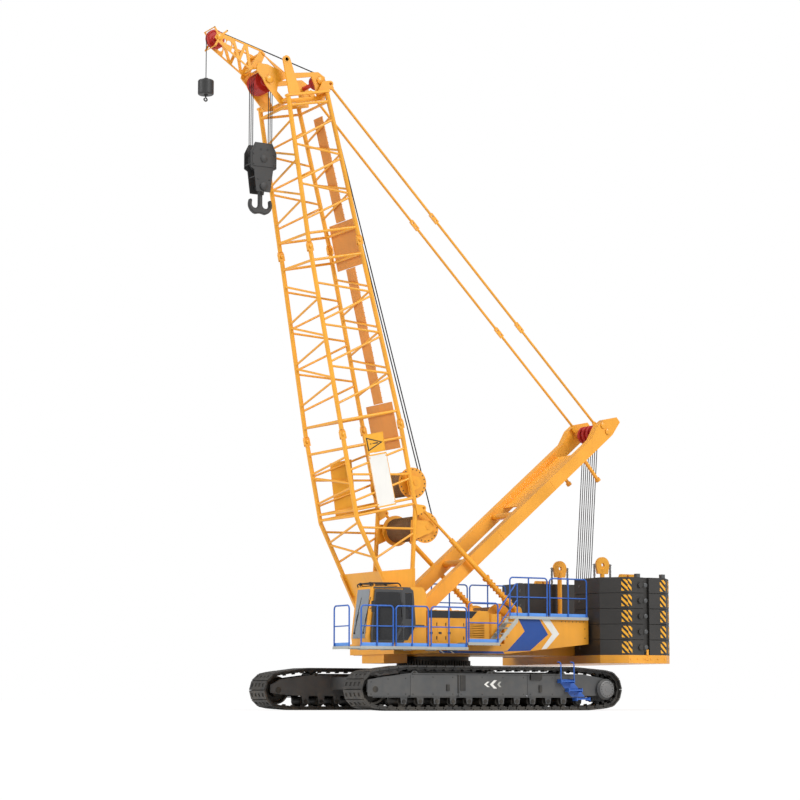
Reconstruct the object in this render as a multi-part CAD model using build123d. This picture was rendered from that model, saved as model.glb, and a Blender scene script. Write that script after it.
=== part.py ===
"""Crawler crane with a lattice boom, a mast and a stacked counterweight.

Millimetres. X points forward, Y to the left, Z up. The origin lies on the
ground under the slewing axis. Each node is saved as one STEP file.
"""
import os
from math import acos, atan2, ceil, cos, hypot, pi, radians, sin
from build123d import *

# Clearances
SEAT = 0.3            # between pieces that sit on each other
RUN = 8.0             # between pieces that move past each other

# Tracks: wheels that bend the track, as (x, z, radius at the shoe's face)
SHOE_WIDTH = 1100.0
SHOE_PITCH = 330.0
SHOE_GAP = 34.0
PAD = 48.0
LINK = 72.0
TRACK_Y = 3147.0
SPROCKET = (-4180.0, 660.0, 600.0)
IDLER = (4190.0, 640.0, 590.0)
END_ROLLER = (3450.0, 300.0, 300.0)
CARRIER_FRONT = (3150.0, 1160.0, 200.0)
CARRIER_REAR = (-2900.0, 1160.0, 200.0)

# Track frames
FRAME_HALF = 400.0
FRAME_WALL = 40.0
FRAME_LOW = 455.0
FRAME_TOP = 1128.0
FRAME_DECK = (905.0, 950.0)
FRAME_FLOOR = (470.0, 510.0)
FRAME_SHOULDER = 100.0
FRAME_NOSE = [(-90, 505), (290, 560), (290, 800), (-60, 985)]         # x from the idler, z
FRAME_TAIL = [(100, 1010), (-370, 850), (-370, 500), (330, FRAME_LOW)]  # x from the sprocket, z
SHAFT_OUT = 18.0                      # how far the rollers' shafts stand out of the walls
ROLLER_COUNT = 12
ROLLER_SPAN = 3200.0
ROLLER_RADIUS = 162.0
ROLLER_HALF = 300.0
ROLLER_SHAFT = 62.0
TAB_HALF = 125.0
TAB_LOW = 205.0
CARRIER_COUNT = 3
CARRIER_RADIUS = 105.0
CARRIER_SHAFT = 48.0
CARRIER_INSET = 330.0
SPROCKET_HALF = 110.0
SPROCKET_TEETH = 13
SPROCKET_TOOTH = 70.0
HUB_EDGE = 60.0
HUB_RADIUS = 150.0
HUB_CAP = 330.0
HUB_REACH = 545.0
IDLER_HALF = 250.0
IDLER_SHAFT = 95.0
IDLER_HUB = (190.0, 300.0)            # radius and half width
IDLER_WEB = (220.0, 90.0)             # radius at its root and half thickness
IDLER_RIM = (80.0, 60.0)              # depth of the rim at the web and at its edge

# Access steps on the track frames
STEP_X = (-3220.0, -2930.0, -2640.0)  # middles of the treads, lowest first
STEP_HALF = 260.0
STEP_REACH = 640.0
STEP_LEVELS = (330.0, 610.0, 890.0)
STEP_RIM = 40.0
STEP_THICK = 36.0
STEP_CHEEK = 24.0
STEP_LAP = 4.0                        # how far treads and back plate reach into each other
STEP_RAIL = 20.0
STEP_RAIL_TOP = 1330.0

# Carbody and slewing ring
CARBODY_X = 1650.0
CARBODY_Y = 1500.0
CARBODY_Z = (640.0, 1250.0)
LEG_X = (1250.0, 2250.0)
LEG_Z = (660.0, 1060.0)
PEDESTAL = (1260.0, 1400.0)           # radius, top
RING_OUT = 1190.0
RING_BORE = 940.0
RING_TOP = 1690.0
RING_TEETH = 72
RING_TOOTH = 45.0
RING_FLANGE = 120.0
RING_STEP = 12.0
CARBODY_CORNER = 420.0

# Upper frame
GIRDER_Y = (1000.0, 1400.0)
GIRDER_FRONT = 2300.0
GIRDER_REAR = -6900.0
FLOOR_Z = 1750.0
FLOOR_THICK = 60.0
GIRDER_TOP = 2100.0
REAR_TOP = 2900.0
REAR_RISE = (-3000.0, -4300.0)
CROSS_FRONT = (900.0, 2300.0)
CROSS_REAR = (-6900.0, -6400.0)
NOSE = (1400.0, 2250.0, 1480.0)       # x range and bottom
BRACKET = 60.0
BODY_Y = 2350.0
DECK_EDGE = 3000.0

# Side bodies, houses and engine
SIDE_BODY = [(-1200, 1760), (-4440, 2110), (-4440, 2889.7), (-1200, 2889.7)]
SIDE_SILL = (-1201.0, 1640.0, 1760.0, 2080.0)
HOUSE_X = (-640.0, 1640.0)
HOUSE_Z = (2080.3, 3100.0)
HOUSE_WALL = 30.0
HOUSE_CORNER = 110.0
LOUVRES = 9
LOUVRE_X = (190.0, 900.0)             # from the house's rear
LOUVRE_Z = (190.0, 620.0)             # from the house's foot
LOUVRE_HIGH = 22.0
TANK_X = (-1180.0, -700.0)
TANK_TOP = 3020.0
ENGINE = (-450.0, 1450.0, 1470.0, 2280.0, 2180.0, 2980.0)

# Cab, as points of its side view
CAB_LOW = 1930.3
CAB_OUTLINE = [(1700, CAB_LOW), (3790, CAB_LOW), (3830, 2250), (3640, 3790), (1820, 3790), (1700, 3600)]
CAB_Y = (1420.0, 2380.0)
CAB_WALL = 45.0
CAB_CORNER = 90.0
CAB_GLASS = 14.0
FRONT_PANE = (2330.0, 3650.0, 90.0)   # bottom, top and side margin
REAR_PANE = (2950.0, 3560.0, 130.0)
ROOF_PANE = (2700.0, 3480.0, 150.0)
SIDE_PANE = [(2200, 2790), (2480, 2790), (2480, 3590), (2240, 3590)]
RIGHT_PANE = [(2560, 2620), (3600, 2620), (3500, 3640), (2560, 3640)]
DOOR = [(2540, 2080), (3690, 2080), (3710, 2300), (3560, 3700), (2540, 3700)]
DOOR_PANE = [(2640, 2700), (3560, 2700), (3460, 3610), (2640, 3610)]
DOOR_THICK = 40.0
DOOR_LAP = 55.0                       # by which the leaf covers the edge of its opening
PANE_IN = 150.0                       # how deep the cuts for the panes reach in and out
PANE_OUT = 90.0
DOOR_RAIL = (1740.0, 3540.0, 2600.0)
ROOF_BAR = 26.0

# Decks, stairs and railings
DECK_THICK = 60.0
DECK_1 = (560.0, 4650.0, 1930.0)
DECK_1_INNER = 1720.0
DECK_2 = (-600.0, 556.0, 2085.0)
DECK_3 = (-4380.0, -1340.0, 2950.0)
STAIR = (-1330.0, -610.0, 4)
RAIL_RADIUS = 24.0
RAIL_HEIGHT = 1240.0
RAIL_BEND = 110.0
RAIL_INSET = 34.0
RAIL_STUB = 20.0                      # straight length under a bend
RAIL_PANEL = 1100.0                   # longest reach between two posts
RAIL_END = 40.0
RAIL_BREAK = 50.0                     # half the gap between two frames
LEFT_BREAKS = (3180.0, 1930.0)
HIGH_BREAK = -2850.0
HIGH_DECK_IN = 560.0                  # from the low deck's edge to the high deck's
DECK_CORNER = 260.0
RIGHT_DECK = (-1300.0, 900.0)
RIGHT_BREAK = -250.0
TOE = (120.0, 8.0)

# Counterweight
TRAY_Z = (1495.0, 1755.0)
STACK = [(-4520, 1460), (-4520, 2880), (-5170, 3530), (-6680, 3530), (-7180, 3030), (-7180, 1460)]
SLABS = 5
SLAB_HEIGHT = 499.0
SLAB_EDGE = 22.0
NOTCH = (-6010.0, -5790.0, 90.0)
TRUNNION = (-5640.0, 85.0, 60.0)
STACK_FITTING = (-5900.0, 2480.0, 330.0, 150.0)
LIFT = (-5800.0, 1250.0, 4640.0, 75.0)
LIFT_HEAD = (260.0, 90.0, 60.0)       # radius, thickness, bore
LIFT_EYE = (130.0, 170.0)             # height of the bore over the post's top, depth of the foot below it
CHAIN_LINK = (58.0, 38.0, 13.0, 9)     # half length, half width, bar, count
CHAIN_OUT = 60.0                      # from a head's edge to its chain, and on to the peg's end

# Boom: foot pin, angle, and stations along it with their outlines
FOOT = (1600.0, 2420.0)
BOOM_ANGLE = 77.52
CHORD = 72.0
BRACE = 36.0
FRAME_BAR = 43.0
FRAME_BAR_INSET = 280.0
STATIONS = {                          # s: (front n, rear n, half width)
    "frame": (3850.0, 1100.0, -1070.0, 1190.0),
    "joint_1": (6520.0, 1050.0, -1100.0, 1190.0),
    "joint_2": (12520.0, 830.0, -1000.0, 980.0),
    "head": (17330.0, 580.0, -840.0, 980.0),
}
LEG_TOP = (2100.0, 650.0, 1680.0, -467.0)     # s and n of the chords' feet
LEG_SINK = 260.0                      # how far the chords reach down into the legs
LEG_THICK = 60.0
FOOT_EYE = 190.0
FOOT_PIN = 80.0
PORTAL = (1350.0, 2100.0, 30.0)
LEG_BRACES = ((2500.0, 3050.0), (3050.0, 3560.0))
LEG_FRONT_BRACES = ((2560.0, 3120.0), (3180.0, 3740.0))
LEG_TIE = (1450.0, -240.0)
KINK_BAR = 95.0                       # from the frame station to its bars
PIN = 44.0
PIN_OUT = 20.0                        # how far shafts stand out of their plates
EYE = 95.0
EYE_THICK = 56.0
CHEEK = 30.0
JOINT_HALF = 150.0
BAYS = {"base": 3, "insert": 6, "head": 5}
WALK_HALF = 275.0
WALK_THICK = 30.0
PLATFORM_HALF = 820.0
PLATFORM_REACH = 600.0
WALK_END = PLATFORM_REACH + 15.0
SIGN_THICK = 14.0
SIGN_NEAR_TOP = [(6380, 345), (6380, -370), (5780, -340), (5780, 300)]
SIGN_NEAR_LOW = [(5730, 310), (5730, -360), (4040, -360), (4040, 310)]
SIGN_FAR = [(5700, 330), (5700, -480), (3960, -300), (3960, 480)]

# Hoist drums in the boom's foot section, as (s, n)
DRUM_1 = (4590.0, -1300.0)
DRUM_2 = (3130.0, -1440.0)
DRUM_FLANGE = 500.0
DRUM_CORE = 370.0
DRUM_HALF = 930.0
DRUM_SHAFT = 90.0
FLANGE_THICK = 40.0
DRUM_HUB = (210.0, 40.0)
DRUM_BRACKET = (1057.7, 1117.7)
DRUM_SHAFT_OUT = 12.0
BRACKET_HALF = 330.0                  # half length of a drum bracket's foot
BRACKET_SINK = 60.0                   # how far the foot reaches past the chord's middle

# Boom head and tip jib, as (s, n)
HEAD_CHEEK_Y = (530.0, 580.0)
HEAD_CHEEK = [(17180, -960), (17900, -1110), (18090, -900), (18150, 300), (18480, 880), (18550, 1200),
              (18330, 1300), (18060, 1140), (17850, 1080), (17180, 690)]
HEAD_WINDOW = [(17320, -690), (17320, 520), (17600, 720), (17860, 620), (17960, 330), (17960, -620),
               (17700, -680)]
MAIN_SHEAVE = (18000.0, 920.0, 350.0)
GUIDE_SHEAVE = (17800.0, -910.0, 240.0)
SHEAVE_GROOVE = 34.0
SHEAVE_WIDTH = 110.0
SHEAVE_HUB = 55.0                     # thickness of the hub round the bore
SHEAVE_LIP = 16.0                     # thickness of the rim under the groove
SHEAVE_WEB = 0.45                     # share of the width
MAIN_SHEAVES = 5
GUIDE_SHEAVES = 2
GUIDE_STEP = 150.0
GUIDE_SHIFT = 375.0                   # from the middle to the pair of guide wheels
HEAD_TIE = 0.62                       # share of the depth at which the cheeks are tied
SHEAVE_SHAFT = 70.0
TIP_SHAFT = 49.0
LUG_HOLE = (18500.0, 400.0, 45.0)
LUG_EYE = 130.0
LUG_Y = (950.0, 1010.0)
LUG_FOOT = [(17400, 140), (17400, 540)]
STAY_PIN = (17650.0, -1180.0)
STAY_Y = (585.0, 655.0)
STAY_GAP = 32.0
STAY_PLATE = 45.0
STAY_BORE = 48.0
STAY_FOOT = 420.0                     # length of the stay lug's foot
STAY_ROOT = 200.0
CAP_HIGH = 70.0
CAP_HALF = 90.0
JIB_TIP = (19520.0, 2256.0, 310.0)
JIB_CORNER = (18880.0, 880.0)
JIB_BASE = (18410.0, 1060.0)
JIB_Y = 300.0
JIB_PLATE = 40.0
JIB_TIE_END = (18080.0, 180.0)
JIB_TUBE = 50.0
JIB_BARS = (0.0, 0.36, 0.66)          # shares of the length at which cross bars lie
JIB_BAR = 46.0                        # half width of the bars
JIB_HOLES = ((0.72, 95.0), (0.84, 68.0))

# Mast
MAST_FOOT = (1400.0, 2800.0)
MAST_TOP = (-6270.0, 9280.0)
MAST_Y = (700.0, 1000.0)
MAST_HALF = 205.0
MAST_EYE = 190.0
MAST_PIN = 70.0
MAST_TIP = 620.0
MAST_EAR = 190.0
MAST_TAPER = 700.0                    # length of the taper at each end
MAST_TUBE = 110.0
MAST_SKIN = 20.0                      # half thickness of the panel
MAST_SHEAVE = 300.0
MAST_CROSS = (0.30, 0.55, 0.90)
MAST_PANEL = (0.60, 0.88)
MAST_PROP = (0.87, 820.0, 60.0)
STAY_LOW = (-6080.0, 9480.0)
STAY_RADIUS = 42.0
STAY_LINKS = (0.30, 0.62)
STAY_EYE = 100.0
STAY_NECK = 50.0
STAY_LINK = (190.0, 70.0, 34.0, 30.0)  # half length, half width, half thickness, bore

# Backstops
STOP_FOOT = (-2400.0, 3200.0)
STOP_LUG = (3750.0, -1300.0)
STOP_Y = 1190.0
STOP_TUBE = 82.0
STOP_TUBE_LENGTH = 3300.0
STOP_ROD = 48.0
STOP_ROD_START = 720.0
STOP_EYE = 120.0
STOP_LUG_EYE = 95.0
STOP_BORE = 40.0
STOP_FOOT_HALF = 190.0
STOP_SINK = 40.0
SPRING = (18.0, 8)                    # bar radius and count of rings
COLLAR = (130.0, 50.0)                # radius and thickness
SPRING_SPAN = (420.0, 1500.0)

# Luffing winch and ropes
WINCH = (-2050.0, 2950.0, 470.0, 720.0)
WINCH_DEEP = 110.0                    # from a flange's edge down to the drum
WINCH_SHAFT = 110.0
WINCH_OUT = 90.0
STAND = (210.0, 380.0)                # radius of the head and half length of the foot
LUFF_BLOCK = (-5800.0, 2780.0, 280.0)
LUFF_ROPE = 15.0
LUFF_ROPES = 4
LUFF_STEP = 240.0
LUFF_SINK = 15.0                      # how far the ropes reach into the grooves
LUFF_END_GAP = 450.0                  # from a rope's end to the other block's shaft

# Hoists
ROPE = 14.0
FALL_STEP = 124.0
HOOK_SHEAVES = 3
BLOCK_TOP = 17800.0
BLOCK_LOW = 16230.0
BLOCK_SHEAVE_Z = 17280.0
BLOCK_HALF = 450.0
BLOCK_Y = 250.0
BLOCK_PLATE = 40.0
BLOCK_CREST = 300.0                   # half width at the top
BLOCK_SHOULDER = 17500.0
TRUNNION_UP = 170.0                   # from the cheeks' foot to the hook's cross head
CROSS_HEAD = 90.0
BLOCK_STEP = (17000.0, 16930.0, 330.0, 240.0)  # two heights, then the half widths below
HOOK_LOW = 15530.0
HOOK_BAR = 95.0
BALL = (19390.0, 250.0, 240.0)        # middle height, radius, half height
BALL_EDGE = 50.0
BALL_NECK = (60.0, 70.0)              # length and radius above the weight
BALL_TAIL = (30.0, 60.0)              # length and radius below it
BALL_HOOK = (165.0, 23.0)             # height of the curve and the bar's radius
HOOK_CURVE = ((0, 0), (0, -0.32), (-0.28, -0.70), (0, -1.0), (0.34, -0.76), (0.26, -0.46))

os.makedirs("parts", exist_ok=True)


def block(x, y, z):
    """Box between two bounds on each axis."""
    low = (min(x), min(y), min(z))
    return Solid.make_box(max(x) - low[0], max(y) - low[1], max(z) - low[2], Plane(low))


def rod(start, end, radius):
    """Round bar between two points."""
    axis = Vector(*end) - Vector(*start)
    return Solid.make_cylinder(radius, axis.length, Plane(start, z_dir=axis))


def cross_rod(x, z, radius, y):
    """Round bar along Y."""
    return rod((x, min(y), z), (x, max(y), z), radius)


def side_plate(points, y, holes=()):
    """Plate drawn in the side view, with holes as (x, z, radius)."""
    outline = Wire.make_polygon([Vector(px, min(y), pz) for px, pz in points])
    rings = [Wire.make_circle(r, Plane((hx, min(y), hz), z_dir=(0, 1, 0))) for hx, hz, r in holes]
    return Solid.extrude(Face(outline, rings), Vector(0, max(y) - min(y), 0))


def plan_plate(points, z):
    """Plate drawn in the plan view."""
    outline = Wire.make_polygon([Vector(px, py, min(z)) for px, py in points])
    return Solid.extrude(Face(outline), Vector(0, 0, max(z) - min(z)))


def lug(centre, radius, foot_a, foot_b, y, bore):
    """Plate with a round end about a bore, on a straight foot."""
    cx, cz = centre
    lean = (foot_b[0] - foot_a[0]) * (cz - foot_a[1]) - (foot_b[1] - foot_a[1]) * (cx - foot_a[0])
    turn = 1 if lean > 0 else -1

    def touch(point, side):
        reach = hypot(point[0] - cx, point[1] - cz)
        angle = atan2(point[1] - cz, point[0] - cx) + side * turn * acos(radius / reach)
        return Vector(cx + radius * cos(angle), min(y), cz + radius * sin(angle))

    mid = ((foot_a[0] + foot_b[0]) / 2, (foot_a[1] + foot_b[1]) / 2)
    away = atan2(cz - mid[1], cx - mid[0])
    top = Vector(cx + radius * cos(away), min(y), cz + radius * sin(away))
    a = Vector(foot_a[0], min(y), foot_a[1])
    b = Vector(foot_b[0], min(y), foot_b[1])
    ta, tb = touch(foot_a, -1), touch(foot_b, 1)
    edges = [Edge.make_line(a, b), Edge.make_line(b, tb)]
    edges += [Edge.make_three_point_arc(tb, top, ta), Edge.make_line(ta, a)]
    ring = Wire.make_circle(bore, Plane((cx, min(y), cz), z_dir=(0, 1, 0)))
    return Solid.extrude(Face(Wire(edges), [ring]), Vector(0, max(y) - min(y), 0))


def turned(profile, x, z, y=0.0):
    """Solid of revolution about a line along Y, from (radius, y) points."""
    outline = Wire.make_polygon([Vector(x + r, y + py, z) for r, py in profile])
    return Solid.revolve(Face(outline), 360, Axis((x, y, z), (0, 1, 0)))


def join(first, *others):
    """One solid from pieces that overlap or touch."""
    whole = first.fuse(*others)
    return max(whole.solids(), key=lambda piece: piece.volume)


def cut(body, *tools):
    """Largest piece that is left of a body."""
    left = body.cut(*tools)
    return max(left.solids(), key=lambda piece: piece.volume)


def mirrored(shapes):
    """The same shapes on the right side."""
    return [shape.mirror(Plane.XZ) for shape in shapes]


def both(shapes):
    """Shapes on the left side and their mirror images."""
    return list(shapes) + mirrored(shapes)


def save(name, shapes):
    export_step(Compound(list(shapes)), f"parts/{name}.step")


def spread(count, low, high):
    """Evenly spaced values with both ends."""
    return [low + (high - low) * i / (count - 1) for i in range(count)]


# Undercarriage

def track_path():
    """Lines and arcs of the shoes' faces, round the wheels in turn."""
    mirrored_end = (-END_ROLLER[0], END_ROLLER[1], END_ROLLER[2])
    wheels = [mirrored_end, END_ROLLER, IDLER, CARRIER_FRONT, CARRIER_REAR, SPROCKET]
    leave = []
    for a, b in zip(wheels, wheels[1:] + wheels[:1]):
        gap = hypot(b[0] - a[0], b[1] - a[1])
        leave.append(atan2(b[1] - a[1], b[0] - a[0]) - acos((a[2] - b[2]) / gap))
    path = []
    for i, wheel in enumerate(wheels):
        arrive = leave[i - 1]
        sweep_angle = (leave[i] - arrive) % (2 * pi)
        path.append(("arc", wheel, arrive, sweep_angle, sweep_angle * wheel[2]))
        after = wheels[(i + 1) % len(wheels)]
        start = (wheel[0] + wheel[2] * cos(leave[i]), wheel[1] + wheel[2] * sin(leave[i]))
        end = (after[0] + after[2] * cos(leave[i]), after[1] + after[2] * sin(leave[i]))
        path.append(("line", start, end, leave[i], hypot(end[0] - start[0], end[1] - start[1])))
    return path


TRACK_PATH = track_path()
TRACK_RUN = sum(piece[4] for piece in TRACK_PATH)
SHOES = round(TRACK_RUN / SHOE_PITCH)
PITCH = TRACK_RUN / SHOES


def track_point(distance, depth):
    """Point of the track at a distance round it and a depth under the shoes' faces."""
    left = distance % TRACK_RUN
    for kind, start, end, turn, length in TRACK_PATH:
        if left <= length:
            if kind == "arc":
                angle = end + left / start[2]
                x = start[0] + (start[2] - depth) * cos(angle)
                return x, start[1] + (start[2] - depth) * sin(angle)
            share = left / length
            x = start[0] + (end[0] - start[0]) * share - depth * cos(turn)
            return x, start[1] + (end[1] - start[1]) * share - depth * sin(turn)
        left -= length
    return track_point(0.0, depth)


def wheel_inside(wheel):
    """Radius of a wheel under the track's flat links."""
    return (wheel[2] - PAD - LINK) * cos(PITCH / wheel[2] / 2) - SEAT


def track(centre):
    """One loop of shoes with a notch between each two."""
    outer, inner = [], []
    half = SHOE_GAP / 2
    for i in range(SHOES):
        start, end = i * PITCH, (i + 1) * PITCH
        outer += [track_point(start + half, PAD), track_point(start + half, 0.0)]
        outer += [track_point(end - half, 0.0), track_point(end - half, PAD)]
        inner.append(track_point(start, PAD + LINK))
    y = centre - SHOE_WIDTH / 2
    ring = Wire.make_polygon([Vector(px, y, pz) for px, pz in outer])
    hole = Wire.make_polygon([Vector(px, y, pz) for px, pz in inner])
    return Solid.extrude(Face(ring, [hole]), Vector(0, SHOE_WIDTH, 0))


ROLLER_X = spread(ROLLER_COUNT, -ROLLER_SPAN, ROLLER_SPAN)
ROLLER_Z = PAD + LINK + ROLLER_RADIUS + SEAT * 3
CARRIER_X = spread(CARRIER_COUNT, CARRIER_REAR[0] + CARRIER_INSET, CARRIER_FRONT[0] - CARRIER_INSET)
CARRIER_Z = CARRIER_FRONT[1] + CARRIER_FRONT[2] - PAD - LINK - CARRIER_RADIUS - SEAT * 3


def frame_wall(y):
    """Side wall of a track frame, with a tab under it at each roller."""
    lower = []
    for x in ROLLER_X:
        lower += [(x - TAB_HALF, FRAME_LOW), (x - TAB_HALF * 0.7, TAB_LOW)]
        lower += [(x + TAB_HALF * 0.7, TAB_LOW), (x + TAB_HALF, FRAME_LOW)]
    front = [(IDLER[0] + dx, z) for dx, z in FRAME_NOSE]
    rear = [(-END_ROLLER[0] + FRAME_SHOULDER, FRAME_TOP)] + [(SPROCKET[0] + dx, z) for dx, z in FRAME_TAIL]
    upper = []
    for x in reversed(CARRIER_X):
        upper += [(x + TAB_HALF, FRAME_TOP), (x + TAB_HALF / 2, CARRIER_Z + TAB_HALF / 2)]
        upper += [(x - TAB_HALF / 2, CARRIER_Z + TAB_HALF / 2), (x - TAB_HALF, FRAME_TOP)]
    outline = lower + front + [(CARRIER_FRONT[0] - 150, FRAME_TOP)] + upper + rear
    holes = [(x, ROLLER_Z, ROLLER_SHAFT + SEAT) for x in ROLLER_X]
    holes += [(x, CARRIER_Z, CARRIER_SHAFT + SEAT) for x in CARRIER_X]
    holes += [(IDLER[0], IDLER[1], IDLER_SHAFT + SEAT), (SPROCKET[0], SPROCKET[1], HUB_RADIUS + SEAT)]
    return side_plate(outline, y, holes)


def track_frame(centre):
    inner = (centre - FRAME_HALF, centre - FRAME_HALF + FRAME_WALL)
    outer = (centre + FRAME_HALF - FRAME_WALL, centre + FRAME_HALF)
    across = (inner[1] - 1, outer[0] + 1)
    span = (-END_ROLLER[0], END_ROLLER[0])
    floor = block(span, across, FRAME_FLOOR)
    deck = block(span, across, FRAME_DECK)
    return join(frame_wall(inner), frame_wall(outer), floor, deck)


def roller(x, z, radius, half, shaft, reach, centre):
    profile = [(0, -reach), (shaft, -reach), (shaft, -half), (radius, -half)]
    profile += [(radius, half), (shaft, half), (shaft, reach), (0, reach)]
    return turned(profile, x, z, centre)


def rollers(centre):
    reach = FRAME_HALF + SHAFT_OUT
    low = [roller(x, ROLLER_Z, ROLLER_RADIUS, ROLLER_HALF, ROLLER_SHAFT, reach, centre) for x in ROLLER_X]
    top = [roller(x, CARRIER_Z, CARRIER_RADIUS, ROLLER_HALF, CARRIER_SHAFT, reach, centre) for x in CARRIER_X]
    return low + top


def final_drive(centre, side):
    """Toothed sprocket with the drive's hub through the frame's walls."""
    outer = wheel_inside(SPROCKET)
    root = outer - SPROCKET_TOOTH
    teeth = []
    for i in range(SPROCKET_TEETH):
        for turn, radius in ((-0.30, root), (-0.17, outer), (0.17, outer), (0.30, root)):
            angle = 2 * pi * (i + turn) / SPROCKET_TEETH
            teeth.append((SPROCKET[0] + radius * cos(angle), SPROCKET[1] + radius * sin(angle)))
    wheel = side_plate(teeth, (centre - SPROCKET_HALF, centre + SPROCKET_HALF))
    wall = FRAME_HALF + SEAT
    hub = [(0, -wall), (HUB_RADIUS, -wall), (HUB_RADIUS, wall), (HUB_CAP, wall)]
    hub += [(HUB_CAP, HUB_REACH - HUB_EDGE), (HUB_CAP - HUB_EDGE, HUB_REACH), (0, HUB_REACH)]
    drive = turned([(r, side * py) for r, py in hub], SPROCKET[0], SPROCKET[1], centre)
    return join(drive, wheel)


def idler(centre):
    outer = wheel_inside(IDLER)
    reach = FRAME_HALF + SHAFT_OUT
    hub, hub_half = IDLER_HUB
    root, web = IDLER_WEB
    profile = [(0, -reach), (IDLER_SHAFT, -reach), (IDLER_SHAFT, -hub_half), (hub, -hub_half), (root, -web)]
    profile += [(outer - IDLER_RIM[0], -web), (outer - IDLER_RIM[1], -IDLER_HALF), (outer, -IDLER_HALF)]
    profile += [(r, -py) for r, py in reversed(profile)]
    return turned(profile, IDLER[0], IDLER[1], centre)


def access_steps(centre):
    """Treads that climb forward on a sloping back plate, each between two cheeks, with two grab posts."""
    y = (centre + FRAME_HALF + SEAT, centre + STEP_REACH)
    pieces = []
    for x, z in zip(STEP_X, STEP_LEVELS):
        tread_y = (y[0] + STEP_CHEEK - STEP_LAP, y[1])
        pieces.append(block((x - STEP_HALF, x + STEP_HALF), tread_y, (z, z + STEP_THICK)))
        for end in (x - STEP_HALF, x + STEP_HALF - STEP_CHEEK):
            pieces.append(block((end, end + STEP_CHEEK), y, (z - STEP_RIM, z + STEP_THICK + STEP_RIM)))
    low = STEP_LEVELS[0] + STEP_THICK - STEP_LAP
    high = STEP_LEVELS[-1] + STEP_THICK + STEP_RIM
    back = [(STEP_X[0] - STEP_HALF, low), (STEP_X[0] + STEP_HALF, low)]
    back += [(STEP_X[-1] + STEP_HALF, high), (STEP_X[-1] - STEP_HALF, high)]
    frame = join(side_plate(back, (y[0], y[0] + STEP_CHEEK)), *pieces)
    post_y = y[1] - STEP_RIM
    posts = []
    for x in (STEP_X[-1] - STEP_HALF + STEP_CHEEK / 2, STEP_X[-1] + STEP_HALF - STEP_CHEEK / 2):
        posts.append(rod((x, post_y, high + SEAT), (x, post_y, STEP_RAIL_TOP), STEP_RAIL))
    return [frame] + posts


def carbody():
    """Middle box with four legs that reach the track frames, under a round pedestal."""
    plan = [(CARBODY_X, CARBODY_Y - CARBODY_CORNER), (CARBODY_X - CARBODY_CORNER, CARBODY_Y)]
    plan += [(-px, py) for px, py in reversed(plan)]
    plan += [(px, -py) for px, py in reversed(plan)]
    box = plan_plate(plan, CARBODY_Z)
    reach = TRACK_Y - FRAME_HALF - SEAT
    leg = [(LEG_X[0] - 500, 900), (LEG_X[1] - 620, 900), (LEG_X[1], reach), (LEG_X[0], reach)]
    legs = []
    for sx in (1, -1):
        for sy in (1, -1):
            legs.append(plan_plate([(sx * px, sy * py) for px, py in leg], LEG_Z))
    tower = rod((0, 0, CARBODY_Z[1] - 50), (0, 0, PEDESTAL[1]), PEDESTAL[0])
    return join(box, *legs, tower)


def slew_ring():
    """Outer ring with gear teeth below a plain flange."""
    low = PEDESTAL[1] + SEAT
    root = RING_OUT - RING_TOOTH
    gear = []
    for i in range(RING_TEETH):
        for turn, radius in ((-0.32, root), (-0.16, RING_OUT), (0.16, RING_OUT), (0.32, root)):
            angle = 2 * pi * (i + turn) / RING_TEETH
            gear.append(Vector(radius * cos(angle), radius * sin(angle), low))
    bore = Wire.make_circle(RING_BORE, Plane((0, 0, low)))
    teeth = Solid.extrude(Face(Wire.make_polygon(gear), [bore]), Vector(0, 0, RING_TOP - RING_FLANGE - low))
    flange_low = RING_TOP - RING_FLANGE
    disc = Face(Wire.make_circle(root - RING_STEP, Plane((0, 0, flange_low))),
                [Wire.make_circle(RING_BORE, Plane((0, 0, flange_low)))])
    return [join(teeth, Solid.extrude(disc, Vector(0, 0, RING_FLANGE)))]


# Boom coordinates

ALONG = (cos(radians(BOOM_ANGLE)), sin(radians(BOOM_ANGLE)))
FRONT = (ALONG[1], -ALONG[0])


def boom_xz(s, n):
    return FOOT[0] + s * ALONG[0] + n * FRONT[0], FOOT[1] + s * ALONG[1] + n * FRONT[1]


def boom_point(s, n, y):
    x, z = boom_xz(s, n)
    return x, y, z


def boom_plate(points, y, holes=()):
    at = [(*boom_xz(s, n), r) for s, n, r in holes]
    return side_plate([boom_xz(s, n) for s, n in points], y, at)


# Upper works

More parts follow.
